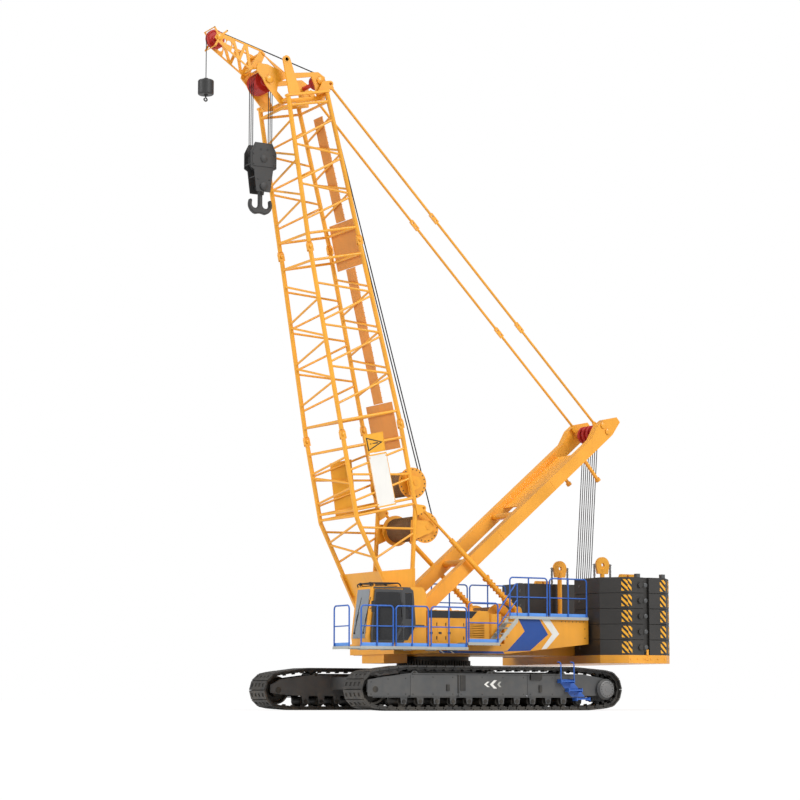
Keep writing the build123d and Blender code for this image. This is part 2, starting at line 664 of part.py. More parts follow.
def upper_frame():
    """Two girders with cross boxes, a turntable and the brackets for boom and mast."""
    girder = [(GIRDER_FRONT, FLOOR_Z), (GIRDER_FRONT, GIRDER_TOP), (REAR_RISE[0], GIRDER_TOP)]
    rear_low = TRAY_Z[1] + SEAT
    girder += [(REAR_RISE[1], REAR_TOP), (GIRDER_REAR, REAR_TOP), (GIRDER_REAR, rear_low)]
    girder += [(-4450, rear_low), (-4450, FLOOR_Z)]
    walls = both([side_plate(girder, GIRDER_Y)])
    inside = (-GIRDER_Y[0] - 1, GIRDER_Y[0] + 1)
    front = block(CROSS_FRONT, inside, (FLOOR_Z, GIRDER_TOP))
    rear = block(CROSS_REAR, inside, (rear_low, REAR_TOP))
    floor = block((GIRDER_REAR + 2500, CROSS_FRONT[0] + 1), inside, (FLOOR_Z, FLOOR_Z + FLOOR_THICK))
    table = rod((0, 0, RING_TOP + RUN), (0, 0, FLOOR_Z + 1), RING_OUT)
    spigot = rod((0, 0, PEDESTAL[1] + RUN), (0, 0, FLOOR_Z), RING_BORE - SEAT)
    nose = block((NOSE[0], NOSE[1]), (-700.0, 700.0), (NOSE[2], FLOOR_Z + 1))
    foot = [(FOOT[0] - 420, GIRDER_TOP - 20), (FOOT[0] + 330, GIRDER_TOP - 20)]
    outer_y = (STATIONS["frame"][3] + LEG_THICK + RUN, STATIONS["frame"][3] + LEG_THICK + RUN + BRACKET)
    inner_y = (STATIONS["frame"][3] - LEG_THICK - RUN - BRACKET, STATIONS["frame"][3] - LEG_THICK - RUN)
    ears = [lug(FOOT, FOOT_EYE, *foot, y, FOOT_PIN) for y in (outer_y, inner_y)]
    pin = cross_rod(FOOT[0], FOOT[1], FOOT_PIN, (inner_y[0], outer_y[1]))
    mast_in = (MAST_Y[0] - RUN - BRACKET, MAST_Y[0] - RUN)
    mast_foot = [(MAST_FOOT[0] - 330, GIRDER_TOP - 20), (MAST_FOOT[0] + 330, GIRDER_TOP - 20)]
    ears.append(lug(MAST_FOOT, MAST_EYE, *mast_foot, mast_in, MAST_PIN))
    mast_out = (MAST_Y[1] + RUN, inner_y[0] + 1)
    ears.append(lug(MAST_FOOT, MAST_EYE, *mast_foot, mast_out, MAST_PIN))
    mast_pin = cross_rod(MAST_FOOT[0], MAST_FOOT[1], MAST_PIN, (mast_in[0], mast_out[1]))
    stop_foot = [(STOP_FOOT[0] - 420, GIRDER_TOP - 20), (STOP_FOOT[0] + 320, GIRDER_TOP - 20)]
    for y in ((STOP_Y - STOP_EYE - 40, STOP_Y - STOP_EYE), (STOP_Y + STOP_EYE, STOP_Y + STOP_EYE + 40)):
        ears.append(lug(STOP_FOOT, STOP_EYE, *stop_foot, y, MAST_PIN - 10))
    stop_pin = cross_rod(*STOP_FOOT, MAST_PIN - 10, (STOP_Y - STOP_EYE - 40, STOP_Y + STOP_EYE + 40))
    fittings = both(ears + [pin, mast_pin, stop_pin])
    return [join(*walls, front, rear, floor, table, spigot, nose, *fittings)]


def side_body():
    """Closed body beside the girder, with a sill along its front half."""
    body = side_plate(SIDE_BODY, (GIRDER_Y[1] + SEAT, BODY_Y))
    sill = block(SIDE_SILL[:2], (GIRDER_Y[1] + SEAT, BODY_Y), SIDE_SILL[2:])
    return [join(body, sill)]


def house():
    """Sheet housing, open below, with round corners and slots in its side."""
    y = (GIRDER_Y[1] + SEAT, BODY_Y)
    shell = block(HOUSE_X, y, HOUSE_Z)
    corners = [e for e in shell.edges().filter_by(Axis.Y) if e.center().Z > HOUSE_Z[1] - 1]
    shell = shell.fillet(HOUSE_CORNER, corners)
    inner_x = (HOUSE_X[0] + HOUSE_WALL, HOUSE_X[1] - HOUSE_WALL)
    inner_y = (y[0] + HOUSE_WALL, y[1] - HOUSE_WALL)
    hollow = block(inner_x, inner_y, (HOUSE_Z[0] - 1, HOUSE_Z[1] - HOUSE_WALL))
    slots = []
    slot_x = (HOUSE_X[0] + LOUVRE_X[0], HOUSE_X[0] + LOUVRE_X[1])
    for z in spread(LOUVRES, HOUSE_Z[0] + LOUVRE_Z[0], HOUSE_Z[0] + LOUVRE_Z[1]):
        slots.append(block(slot_x, (y[1] - HOUSE_WALL - 1, y[1] + 1), (z, z + LOUVRE_HIGH)))
    return [cut(shell, hollow, *slots)]


def tank():
    """Round-cornered tank behind the left house."""
    body = block(TANK_X, (GIRDER_Y[1] + SEAT, BODY_Y - 60), (SIDE_SILL[3] + SEAT, TANK_TOP))
    edges = body.edges().filter_by(Axis.Z)
    return [body.fillet(HOUSE_CORNER, edges)]


def rounded_profile(points, radius, y):
    """Side view outline with round corners, across a width."""
    face = Face(Wire.make_polygon([Vector(px, min(y), pz) for px, pz in points]))
    face = face.fillet_2d(radius, face.vertices())
    return Solid.extrude(face, Vector(0, max(y) - min(y), 0))


def front_line(z):
    """Forward edge of the cab's outline at a height."""
    (x0, z0), (x1, z1) = CAB_OUTLINE[2], CAB_OUTLINE[3]
    return x0 + (x1 - x0) * (z - z0) / (z1 - z0)


def cab_pieces():
    """Hollow cab, its panes and its sliding door."""
    shell = rounded_profile(CAB_OUTLINE, CAB_CORNER, CAB_Y)
    inner = []
    middle = (sum(p[0] for p in CAB_OUTLINE) / 6, sum(p[1] for p in CAB_OUTLINE) / 6)
    for px, pz in CAB_OUTLINE:
        step = CAB_WALL * 1.15
        inner.append((px + (step if px < middle[0] else -step), pz + (step if pz < middle[1] else -step)))
    inner_y = (CAB_Y[0] + CAB_WALL, CAB_Y[1] - CAB_WALL)
    hollow = rounded_profile(inner, CAB_CORNER - CAB_WALL, inner_y)
    lo, hi, margin = FRONT_PANE
    pane_y = (CAB_Y[0] + margin, CAB_Y[1] - margin)
    x_lo, x_hi = front_line(lo), front_line(hi)
    front_cut = [(x_lo - PANE_IN, lo), (x_lo + PANE_OUT, lo), (x_hi + PANE_OUT, hi), (x_hi - PANE_IN, hi)]
    rear_y = (CAB_Y[0] + REAR_PANE[2], CAB_Y[1] - REAR_PANE[2])
    roof_y = (CAB_Y[0] + ROOF_PANE[2], CAB_Y[1] - ROOF_PANE[2])
    roof_z = CAB_OUTLINE[3][1]
    cuts = [side_plate(front_cut, pane_y)]
    cuts.append(block((CAB_OUTLINE[0][0] - PANE_OUT, CAB_OUTLINE[0][0] + PANE_IN), rear_y, REAR_PANE[:2]))
    cuts.append(block(ROOF_PANE[:2], roof_y, (roof_z - PANE_OUT, roof_z + PANE_OUT)))
    near = (CAB_Y[1] - 2 * CAB_WALL, CAB_Y[1] + CAB_WALL)
    far = (CAB_Y[0] - CAB_WALL, CAB_Y[0] + 2 * CAB_WALL)
    shrink = DOOR_LAP
    opening = [(DOOR[0][0] + shrink, DOOR[0][1] + shrink), (DOOR[1][0] - shrink, DOOR[1][1] + shrink)]
    opening += [(DOOR[2][0] - shrink, DOOR[2][1]), (DOOR[3][0] - shrink, DOOR[3][1] - shrink)]
    opening += [(DOOR[4][0] + shrink, DOOR[4][1] - shrink)]
    cuts += [side_plate(opening, near), side_plate(SIDE_PANE, near), side_plate(RIGHT_PANE, far)]
    cab = cut(shell, hollow, *cuts)
    slide_y = (CAB_Y[1] + SEAT, CAB_Y[1] + DOOR_THICK * 0.6)
    rail = block(DOOR_RAIL[:2], slide_y, (DOOR_RAIL[2] - 25, DOOR_RAIL[2] + 25))
    bar = both_ends_bar()
    glass_y = CAB_WALL / 2 - CAB_GLASS / 2
    slope = side_plate([(front_line(lo + SEAT) - 42, lo + SEAT), (front_line(lo + SEAT) - 28, lo + SEAT),
                        (front_line(hi - SEAT) - 28, hi - SEAT), (front_line(hi - SEAT) - 42, hi - SEAT)],
                       (pane_y[0] + SEAT, pane_y[1] - SEAT))
    back_x = CAB_OUTLINE[0][0] + glass_y
    rear = block((back_x, back_x + CAB_GLASS), (rear_y[0] + SEAT, rear_y[1] - SEAT),
                 (REAR_PANE[0] + SEAT, REAR_PANE[1] - SEAT))
    roof = block((ROOF_PANE[0] + SEAT, ROOF_PANE[1] - SEAT), (roof_y[0] + SEAT, roof_y[1] - SEAT),
                 (roof_z - glass_y - CAB_GLASS, roof_z - glass_y))
    near_glass = (CAB_Y[1] - glass_y - CAB_GLASS, CAB_Y[1] - glass_y)
    far_glass = (CAB_Y[0] + glass_y, CAB_Y[0] + glass_y + CAB_GLASS)
    panes = [slope, rear, roof, side_plate(shrunk(SIDE_PANE), near_glass)]
    panes.append(side_plate(shrunk(RIGHT_PANE), far_glass))
    door_y = (CAB_Y[1] + DOOR_THICK * 0.6 + SEAT, CAB_Y[1] + DOOR_THICK * 1.6)
    leaf = cut(side_plate(DOOR, door_y), side_plate(DOOR_PANE, (door_y[0] - 1, door_y[1] + 1)))
    mid = (door_y[0] + door_y[1]) / 2
    door_pane = side_plate(shrunk(DOOR_PANE), (mid - CAB_GLASS / 2, mid + CAB_GLASS / 2))
    handle = block((2580, 2612), (door_y[1] + SEAT, door_y[1] + 30), (2480, 2660))
    return [cab, rail] + bar, panes, [leaf, door_pane, handle]


def shrunk(points):
    """Outline drawn in by the seat gap, so that a pane fits its opening."""
    mx = sum(p[0] for p in points) / len(points)
    mz = sum(p[1] for p in points) / len(points)
    return [(px + (SEAT if px < mx else -SEAT), pz + (SEAT if pz < mz else -SEAT)) for px, pz in points]


def both_ends_bar():
    """Guard bar over the front of the cab's roof, on two feet."""
    z = CAB_OUTLINE[3][1]
    x = CAB_OUTLINE[3][0] - 140
    y0, y1 = CAB_Y[0] + 110, CAB_Y[1] - 110
    path = FilletPolyline((x, y0, z + SEAT), (x, y0, z + 110), (x, y1, z + 110), (x, y1, z + SEAT), radius=60)
    return [tube_along(path, ROOF_BAR)]


def tube_along(path, radius):
    """Round bar swept along a path that starts upwards."""
    start = path @ 0
    ring = Face(Wire.make_circle(radius, Plane(start, z_dir=path % 0)))
    return Solid.sweep(ring, path)


def seat():
    """Operator's seat on its pedestal, and a console each side."""
    base_z = CAB_OUTLINE[0][1] + CAB_WALL * 1.15 + SEAT
    y = (CAB_Y[0] + CAB_Y[1]) / 2
    x = 2500.0
    side = [(x - 220, base_z + 420), (x + 280, base_z + 420), (x + 270, base_z + 540), (x - 90, base_z + 530)]
    side += [(x - 200, base_z + 1180), (x - 320, base_z + 1180)]
    chair = rounded_profile(side, 35, (y - 240, y + 240))
    post = block((x - 150, x + 170), (y - 150, y + 150), (base_z, base_z + 421))
    consoles = [block((x - 60, x + 420), (y + s * 275, y + s * 395), (base_z, base_z + 640)) for s in (1, -1)]
    return [join(chair, post)] + consoles


# Decks and railings on the left; the right side has its own straight deck

def decks_left():
    x0, x1, z1 = DECK_1
    low = z1 - DECK_THICK
    wall, body = HOUSE_X[1] + SEAT, BODY_Y + SEAT
    outline = [(x0, body), (wall, body), (wall, GIRDER_Y[1] + SEAT)]
    outline += [(GIRDER_FRONT + 200, GIRDER_Y[1] + SEAT), (x1 - 300, DECK_1_INNER), (x1, DECK_1_INNER)]
    outline += [(x1, DECK_EDGE - DECK_CORNER), (x1 - DECK_CORNER, DECK_EDGE), (x0, DECK_EDGE)]
    first = plan_plate(outline, (low, z1))
    second = block(DECK_2[:2], (BODY_Y + SEAT, DECK_EDGE), (DECK_2[2] - DECK_THICK, DECK_2[2]))
    high_y = (GIRDER_Y[1] + SEAT, DECK_EDGE - HIGH_DECK_IN)
    third = block(DECK_3[:2], high_y, (DECK_3[2] - DECK_THICK, DECK_3[2]))
    return [first, second, third]


def stairs():
    """Flight between the second and the third deck, with sloping cheeks."""
    x_top, x_low, count = STAIR
    z0, z1 = DECK_2[2], DECK_3[2]
    y = (BODY_Y + SEAT, DECK_EDGE - 60)
    depth = 190.0
    cheek = [(x_low, z0 - DECK_THICK), (x_low, z0 + 90), (x_top - 10, z1), (x_top - 10, z1 - depth)]
    cheeks = [side_plate(cheek, (yy, yy + 24)) for yy in (y[0], y[1] - 24)]
    treads = []
    for i in range(1, count + 1):
        share = i / (count + 1)
        z = z0 + (z1 - z0) * share
        x = x_low + (x_top - x_low) * share
        treads.append(block((x - 110, x + 110), (y[0] + 10, y[1] - 10), (z - 60, z - 28)))
    return [join(*cheeks, *treads)]


def railing(start, end, z):
    """Frame of railing: end posts under a bent top rail, posts between and a knee rail."""
    ax, ay = start
    bx, by = end
    base, top = z + SEAT, z + RAIL_HEIGHT
    shoulder = top - RAIL_BEND - RAIL_STUB
    bends = ((ax, ay, shoulder), (ax, ay, top), (bx, by, top), (bx, by, shoulder))
    pieces = [tube_along(FilletPolyline(*bends, radius=RAIL_BEND), RAIL_RADIUS)]
    pieces += [rod((*p, base), (*p, shoulder - SEAT), RAIL_RADIUS) for p in (start, end)]
    length = hypot(bx - ax, by - ay)
    ux, uy = (bx - ax) / length, (by - ay) / length
    stops = spread(max(1, ceil(length / RAIL_PANEL)) + 1, 0.0, length)
    clear = RAIL_RADIUS + SEAT
    for stop in stops[1:-1]:
        p = (ax + ux * stop, ay + uy * stop)
        pieces.append(rod((*p, base), (*p, top - clear), RAIL_RADIUS))
    for a, b in zip(stops, stops[1:]):
        p = (ax + ux * (a + clear), ay + uy * (a + clear), z + RAIL_HEIGHT / 2)
        q = (ax + ux * (b - clear), ay + uy * (b - clear), z + RAIL_HEIGHT / 2)
        pieces.append(rod(p, q, RAIL_RADIUS * 0.8))
    return pieces


def rail_runs(front, rear, y, z, breaks=()):
    """Frames of railing in a row, parted at each break."""
    marks = [front, *breaks, rear]
    runs = []
    for i, (a, b) in enumerate(zip(marks, marks[1:])):
        first = a - RAIL_BREAK if i > 0 else a
        last = b + RAIL_BREAK if i < len(breaks) else b
        runs.append(((first, y), (last, y), z))
    return runs


def high_runs(y):
    return rail_runs(DECK_3[1] - RAIL_END, DECK_3[0] + RAIL_END, y, DECK_3[2], (HIGH_BREAK,))


def toe_board(start, end, z, out):
    """Low board along the foot of a railing."""
    ax, ay = start
    bx, by = end
    ox, oy = out
    near = RAIL_RADIUS + SEAT
    far = near + TOE[1]
    corners = [(ax + ox * near, ay + oy * near), (bx + ox * near, by + oy * near)]
    corners += [(bx + ox * far, by + oy * far), (ax + ox * far, ay + oy * far)]
    return plan_plate(corners, (z + SEAT, z + TOE[0]))


def railings_left():
    edge = DECK_EDGE - RAIL_INSET
    nose, z = DECK_1[1], DECK_1[2]
    runs = rail_runs(nose - DECK_CORNER - RAIL_END, DECK_1[0] + RAIL_END, edge, z, LEFT_BREAKS)
    front = nose - RAIL_INSET
    runs.append(((front, DECK_1_INNER + RAIL_END), (front, DECK_EDGE - DECK_CORNER - RAIL_END), z))
    runs += rail_runs(DECK_2[1] - RAIL_END, DECK_2[0] + RAIL_END, edge, DECK_2[2])
    runs += high_runs(edge - HIGH_DECK_IN)
    pieces, boards = [], []
    for start, end, level in runs:
        pieces += railing(start, end, level)
        out = (0, -1) if start[1] == end[1] else (-1, 0)
        boards.append(toe_board(start, end, level, out))
    return pieces, boards


def decks_right():
    low = block(RIGHT_DECK, (-BODY_Y - SEAT, -DECK_EDGE), (DECK_2[2] - DECK_THICK, DECK_2[2]))
    high_y = (-GIRDER_Y[1] - SEAT, -DECK_EDGE + HIGH_DECK_IN)
    return [low, block(DECK_3[:2], high_y, (DECK_3[2] - DECK_THICK, DECK_3[2]))]


def railings_right():
    edge = -DECK_EDGE + RAIL_INSET
    runs = rail_runs(RIGHT_DECK[1] - RAIL_END, RIGHT_DECK[0] + RAIL_END, edge, DECK_2[2], (RIGHT_BREAK,))
    runs += high_runs(edge + HIGH_DECK_IN)
    pieces = []
    for start, end, level in runs:
        pieces += railing(start, end, level)
    return pieces


# Counterweight

def counterweight_tray():
    half = [(px, py) for px, py in STACK[1:5]]
    plan = half + [(px, -py) for px, py in reversed(half)]
    return [plan_plate(plan, TRAY_Z)]


def slab(z):
    """One weight with a notch in its side and a lifting trunnion."""
    body = plan_plate(STACK, (z, z + SLAB_HEIGHT))
    rim = [e for e in body.edges().filter_by(GeomType.LINE) if abs(e.center().Z - z - SLAB_HEIGHT) < 1]
    body = body.chamfer(SLAB_EDGE, None, rim)
    side = STACK[2][1]
    notch = block(NOTCH[:2], (side - NOTCH[2], side + 1), (z - 1, z + SLAB_HEIGHT + 1))
    x, radius, reach = TRUNNION
    middle = z + SLAB_HEIGHT / 2
    boss = rod((x, side - 1, middle), (x, side + reach, middle), radius)
    return join(cut(body, notch), boss)


def counterweight():
    return [slab(TRAY_Z[1] + SEAT + i * (SLAB_HEIGHT + SEAT)) for i in range(SLABS)]


STACK_TOP = TRAY_Z[1] + SLABS * (SLAB_HEIGHT + SEAT)


def stack_fitting():
    """Lifting saddle on the top slab."""
    x, y, half, height = STACK_FITTING
    z = STACK_TOP + SEAT
    side = [(x - half, z), (x + half, z), (x + half - 70, z + height), (x - half + 70, z + height)]
    return [side_plate(side, (y - 60, y + 60), [(x, z + height * 0.55, 42)])]


def lift_post():
    """Lifting cylinder of the counterweight, with a round head plate."""
    x, y, top, radius = LIFT
    post = rod((x, y, REAR_TOP + SEAT), (x, y, top), radius)
    collar = rod((x, y, REAR_TOP + SEAT), (x, y, REAR_TOP + 320), radius * 1.45)
    reach, half, bore = LIFT_HEAD
    rise, sink = LIFT_EYE
    foot = ((x - reach * 0.8, top - sink), (x + reach * 0.8, top - sink))
    head = lug((x, top + rise), reach, *foot, (y - half / 2, y + half / 2), bore)
    return [join(post, collar, head)]


def chain_link(centre, turned_link):
    """Six-sided link in the side view or, turned, in the front view."""
    cx, cy, cz = centre
    half, wide, bar, _ = CHAIN_LINK
    waist = half / 2
    shape = [(0, half), (wide, waist), (wide, -waist), (0, -half), (-wide, -waist), (-wide, waist)]

    def ring(scale_w, scale_h):
        if turned_link:
            points = [Vector(cx - bar, cy + u * scale_w, cz + v * scale_h) for u, v in shape]
        else:
            points = [Vector(cx + u * scale_w, cy - bar, cz + v * scale_h) for u, v in shape]
        return Wire.make_polygon(points)

    inner_w = (wide - 2 * bar) / wide
    inner_h = (half - 2 * bar) / half
    way = Vector(2 * bar, 0, 0) if turned_link else Vector(0, 2 * bar, 0)
    return Solid.extrude(Face(ring(1, 1), [ring(inner_w, inner_h)]), way)


def lift_chains():
    """Chains that hang from pegs in the lifting posts' heads."""
    x, y, top, radius = LIFT
    half, wide, bar, count = CHAIN_LINK
    pitch = 2 * half - 4 * bar - SEAT
    pieces = []
    for side in (-1, 1):
        reach = LIFT_HEAD[0] + CHAIN_OUT
        peg_z = top + LIFT_EYE[0]
        peg = ((x + side * (LIFT_HEAD[0] + SEAT), y, peg_z), (x + side * (reach + CHAIN_OUT), y, peg_z))
        pieces.append(rod(*peg, bar))
        for i in range(count):
            z = peg_z + bar + SEAT - half + 2 * bar - i * pitch
            pieces.append(chain_link((x + side * reach, y, z), i % 2 == 0))
    return pieces


# Boom

def brace(start, end, chords, radius=BRACE):
    """Brace between two chords, its ends shaped to them."""
    return cut(rod(start, end, radius), *chords)


def lattice(low, high, bays, skip=(), bars=(), chord=CHORD):
    """Four chords with zig-zag braces on each face and a frame of bars near each end."""
    s0, f0, r0, w0 = low
    s1, f1, r1, w1 = high

    def corner(share, face, side):
        s = s0 + (s1 - s0) * share
        n = (f0 + (f1 - f0) * share) if face == "front" else (r0 + (r1 - r0) * share)
        return boom_point(s, n, side * (w0 + (w1 - w0) * share))

    keys = [("front", 1), ("rear", 1), ("rear", -1), ("front", -1)]
    chords = {key: rod(corner(0, *key), corner(1, *key), chord) for key in keys}
    grown = {key: rod(corner(-0.1, *key), corner(1.1, *key), chord + SEAT) for key in keys}
    pieces = list(chords.values())
    length = s1 - s0
    edge = FRAME_BAR_INSET
    step = 62.0 / length
    for a, b in zip(keys, keys[1:] + keys[:1]):
        name = a[0] if a[0] == b[0] else ("left" if a[1] > 0 else "right")
        tools = (grown[a], grown[b])
        for share in (edge / length, 1 - edge / length):
            if (name, "frame", share < 0.5) not in skip:
                pieces.append(brace(corner(share, *a), corner(share, *b), tools, FRAME_BAR))
        if name in skip:
            continue
        for share in (distance / length for distance in bars):
            pieces.append(brace(corner(share, *a), corner(share, *b), tools, FRAME_BAR))
        first = edge / length + (0.115 if name in ("front", "rear") else 0.085)
        last = 1 - edge / length - (0.085 if name in ("front", "rear") else 0.115)
        marks = spread(bays + 1, first, last)
        flip = name in ("front", "left")
        for i, (u, v) in enumerate(zip(marks, marks[1:])):
            p, q = (a, b) if (i % 2 == 0) == flip else (b, a)
            pieces.append(brace(corner(u + step, *p), corner(v - step, *q), tools))
    return pieces


def station(name, shift=0.0):
    s, front, rear, half = STATIONS[name]
    return s + shift, front, rear, half


def joint_ends(name, upper):
    """Fork or eye on each chord's end, with the pins on the fork's side."""
    s, front, rear, half = STATIONS[name]
    pieces = []
    for n in (front, rear):
        for y in (half, -half):
            if upper:
                plate = (y - EYE_THICK / 2, y + EYE_THICK / 2)
                end = s + JOINT_HALF - SEAT
                tip = [(end, n - EYE), (s - EYE, n - EYE), (s - EYE, n + EYE), (end, n + EYE)]
                pieces.append(boom_plate(tip, plate, [(s, n, PIN + SEAT)]))
                continue
            reach = EYE_THICK / 2 + SEAT
            end = s - JOINT_HALF + SEAT
            tip = [(end, n - EYE), (s + EYE, n - EYE), (s + EYE, n + EYE), (end, n + EYE)]
            for side in (1, -1):
                fork = (y + side * reach, y + side * (reach + CHEEK))
                pieces.append(boom_plate(tip, fork, [(s, n, PIN + SEAT)]))
            x, z = boom_xz(s, n)
            half_pin = reach + CHEEK + PIN_OUT
            pieces.append(cross_rod(x, z, PIN, (y - half_pin, y + half_pin)))
    return pieces


def boom_base():
    """Foot section: leg plates, tapering chords, a portal plate and the upper lattice."""
    frame = station("frame")
    top = station("joint_1", -JOINT_HALF)
    pieces = lattice(frame, top, BAYS["base"], ("rear", ("rear", "frame", True)), (KINK_BAR,))
    s_front, n_front, s_rear, n_rear = LEG_TOP
    half = frame[3]

    def front_n(s):
        return n_front + (frame[1] - n_front) * (s - s_front) / (frame[0] - s_front)

    def rear_n(s):
        return n_rear + (frame[2] - n_rear) * (s - s_rear) / (frame[0] - s_rear)

    front_grown = []
    for y in (half, -half):
        front = (boom_point(s_front - LEG_SINK, front_n(s_front - LEG_SINK), y),
                 boom_point(frame[0] - SEAT, frame[1] - SEAT, y))
        rear = (boom_point(s_rear - LEG_SINK, rear_n(s_rear - LEG_SINK), y),
                boom_point(frame[0] - SEAT, frame[2] + SEAT, y))
        leg = lug(boom_xz(0, 0), FOOT_EYE - 15, boom_xz(s_front, n_front + 80),
                  boom_xz(s_rear + LEG_SINK, n_rear - 140), (y - LEG_THICK, y + LEG_THICK), FOOT_PIN + SEAT)
        pieces += [leg, cut(rod(*front, CHORD), leg), cut(rod(*rear, CHORD), leg)]
        grown = [rod(*front, CHORD + SEAT), rod(*rear, CHORD + SEAT)]
        front_grown.append(grown[0])
        (u, v), (w, e) = LEG_BRACES
        pieces.append(brace(boom_point(u, front_n(u), y), boom_point(v, rear_n(v), y), grown))
        start = w + 2 * LEG_THICK
        pieces.append(brace(boom_point(start, rear_n(start), y), boom_point(e, front_n(e), y), grown))
    for side, (u, v) in zip((1, -1), LEG_FRONT_BRACES):
        ends = (boom_point(u, front_n(u), side * half), boom_point(v, front_n(v), -side * half))
        pieces.append(brace(*ends, front_grown))
    low, high, thick = PORTAL
    n_low, n_high = front_n(low), front_n(high)
    reach = half - LEG_THICK - SEAT
    outline = [(low, n_low - thick), (low, n_low), (high, n_high), (high, n_high - thick)]
    portal = boom_plate(outline, (-reach, reach))
    tie = shaft(boom_xz(*LEG_TIE), CHORD, reach)
    brackets = []
    for centre in (DRUM_1, DRUM_2):
        x, z = boom_xz(*centre)
        s, n = centre
        foot_low, foot_high = s - BRACKET_HALF, s + BRACKET_HALF
        chord_low = frame[2] if foot_low > frame[0] else rear_n(foot_low)
        chord_high = frame[2] if foot_low > frame[0] else rear_n(foot_high)
        a, b = boom_xz(foot_low, chord_low + BRACKET_SINK), boom_xz(foot_high, chord_high + BRACKET_SINK)
        brackets.append(lug((x, z), DRUM_SHAFT + 110, a, b, DRUM_BRACKET, DRUM_SHAFT + SEAT))
    return pieces + [portal, tie] + both(brackets) + joint_ends("joint_1", False)


def stop_lugs():
    """Forked lugs behind the rear chords that take the backstops' heads."""
    s, n = STOP_LUG
    frame = station("frame")
    pieces = []
    for side in (-1, 1):
        y = (STOP_Y + side * (CHORD + SEAT), STOP_Y + side * (CHORD + SEAT + CHEEK))
        foot_n = frame[2] + STOP_SINK
        foot = (boom_xz(s - STOP_FOOT_HALF, foot_n), boom_xz(s + STOP_FOOT_HALF, foot_n))
        pieces.append(lug(boom_xz(s, n), STOP_LUG_EYE, *foot, y, STOP_BORE))
    return both(pieces)


def boom_insert():
    return lattice(station("joint_1", JOINT_HALF), station("joint_2", -JOINT_HALF), BAYS["insert"]) \
        + joint_ends("joint_1", True) + joint_ends("joint_2", False)


def boom_head():
    """Top section with its cheeks, lifting lugs and stay lugs."""
    pieces = lattice(station("joint_2", JOINT_HALF), station("head"), BAYS["head"])
    pieces += joint_ends("joint_2", True)
    holes = [(*MAIN_SHEAVE[:2], SHEAVE_SHAFT + SEAT), (*GUIDE_SHEAVE[:2], SHEAVE_SHAFT + SEAT)]
    window = boom_plate(HEAD_WINDOW, (HEAD_CHEEK_Y[0] - 1, HEAD_CHEEK_Y[1] + 1))
    pieces += both([cut(boom_plate(HEAD_CHEEK, HEAD_CHEEK_Y, holes), window)])
    end, front, rear, half = station("head")
    inner = HEAD_CHEEK_Y[1] + SEAT
    for n in (front, rear):
        x, z = boom_xz(end - 60, n)
        pieces += both([cross_rod(x, z, CHORD * 0.8, (inner, half - CHORD - SEAT))])
        x, z = boom_xz(end - 60, n * HEAD_TIE)
        pieces.append(cross_rod(x, z, CHORD * 0.8, (-HEAD_CHEEK_Y[0] + SEAT, HEAD_CHEEK_Y[0] - SEAT)))
    pieces.append(shaft(boom_xz(*JIB_TIE_END), JIB_TUBE, HEAD_CHEEK_Y[0] - SEAT))
    return pieces


def head_lugs():
    """Plate lugs that stand on the chords' ends, each with a plain bore."""
    foot = [boom_xz(*LUG_FOOT[0]), boom_xz(*LUG_FOOT[1])]
    ears = [lug(boom_xz(*LUG_HOLE[:2]), LUG_EYE, *foot, LUG_Y, LUG_HOLE[2])]
    end, front, rear, half = station("head")
    seat_s = end + CHORD * (STATIONS["joint_2"][1] - front) / (end - STATIONS["joint_2"][0]) + SEAT
    cap_s = end + CAP_HIGH
    low, high = rear - CHORD, front + CHORD
    cap_y = (half - CAP_HALF, half + CAP_HALF)
    cap = boom_plate([(seat_s, low), (seat_s, high), (cap_s, high), (cap_s, low)], cap_y)
    stay_y = (STAY_Y[1] + RUN + STAY_GAP, STAY_Y[1] + RUN + STAY_GAP + STAY_PLATE)
    root, top = rear + STAY_ROOT, seat_s + STAY_FOOT
    stay = lug(boom_xz(*STAY_PIN), STAY_EYE, boom_xz(seat_s, low), boom_xz(top, low), stay_y, STAY_BORE)
    tie_y = (stay_y[0], half - CAP_HALF + 1)
    tie = boom_plate([(seat_s, low - 1), (seat_s, root), (cap_s, root), (cap_s, low - 1)], tie_y)
    brace_plate = boom_plate([(cap_s - 1, low - 1), (cap_s - 1, root), (top, low - 1)], stay_y)
    return both([join(ears[0], cap, stay, tie, brace_plate)])


def sheave(x, z, radius, y, width=SHEAVE_WIDTH, bore=SHEAVE_SHAFT):
    """Grooved rope wheel with a dished web."""
    rim = width / 2
    groove = width / 4
    deep = radius - SHEAVE_GROOVE
    web = rim * SHEAVE_WEB
    hub = bore + SHEAVE_HUB
    lip = deep - SHEAVE_LIP
    dish = rim - web
    profile = [(bore + SEAT, -rim), (hub, -rim), (hub + dish, -web), (lip - dish, -web), (lip, -rim)]
    profile += [(radius, -rim), (radius, -groove), (deep, 0)]
    profile += [(r, -py) for r, py in reversed(profile[:-1])]
    return turned(profile, x, z, y)


def sheave_row(centre, radius, count, step, shift=0.0):
    x, z = centre
    return [sheave(x, z, radius, shift + step * (i - (count - 1) / 2)) for i in range(count)]


def shaft(centre, radius, half):
    return cross_rod(*centre, radius, (-half, half))


def window(a, b, c, bar):
    """Triangle drawn in from three corners by the width of a bar."""
    sides = [hypot(p[0] - q[0], p[1] - q[1]) for p, q in ((b, c), (c, a), (a, b))]
    around = sum(sides)
    mid = [sum(length * p[k] for length, p in zip(sides, (a, b, c))) / around for k in (0, 1)]
    area = abs((b[0] - a[0]) * (c[1] - a[1]) - (b[1] - a[1]) * (c[0] - a[0])) / 2
    scale = 1 - bar * around / (2 * area)
    return [(mid[0] + (p[0] - mid[0]) * scale, mid[1] + (p[1] - mid[1]) * scale) for p in (a, b, c)]


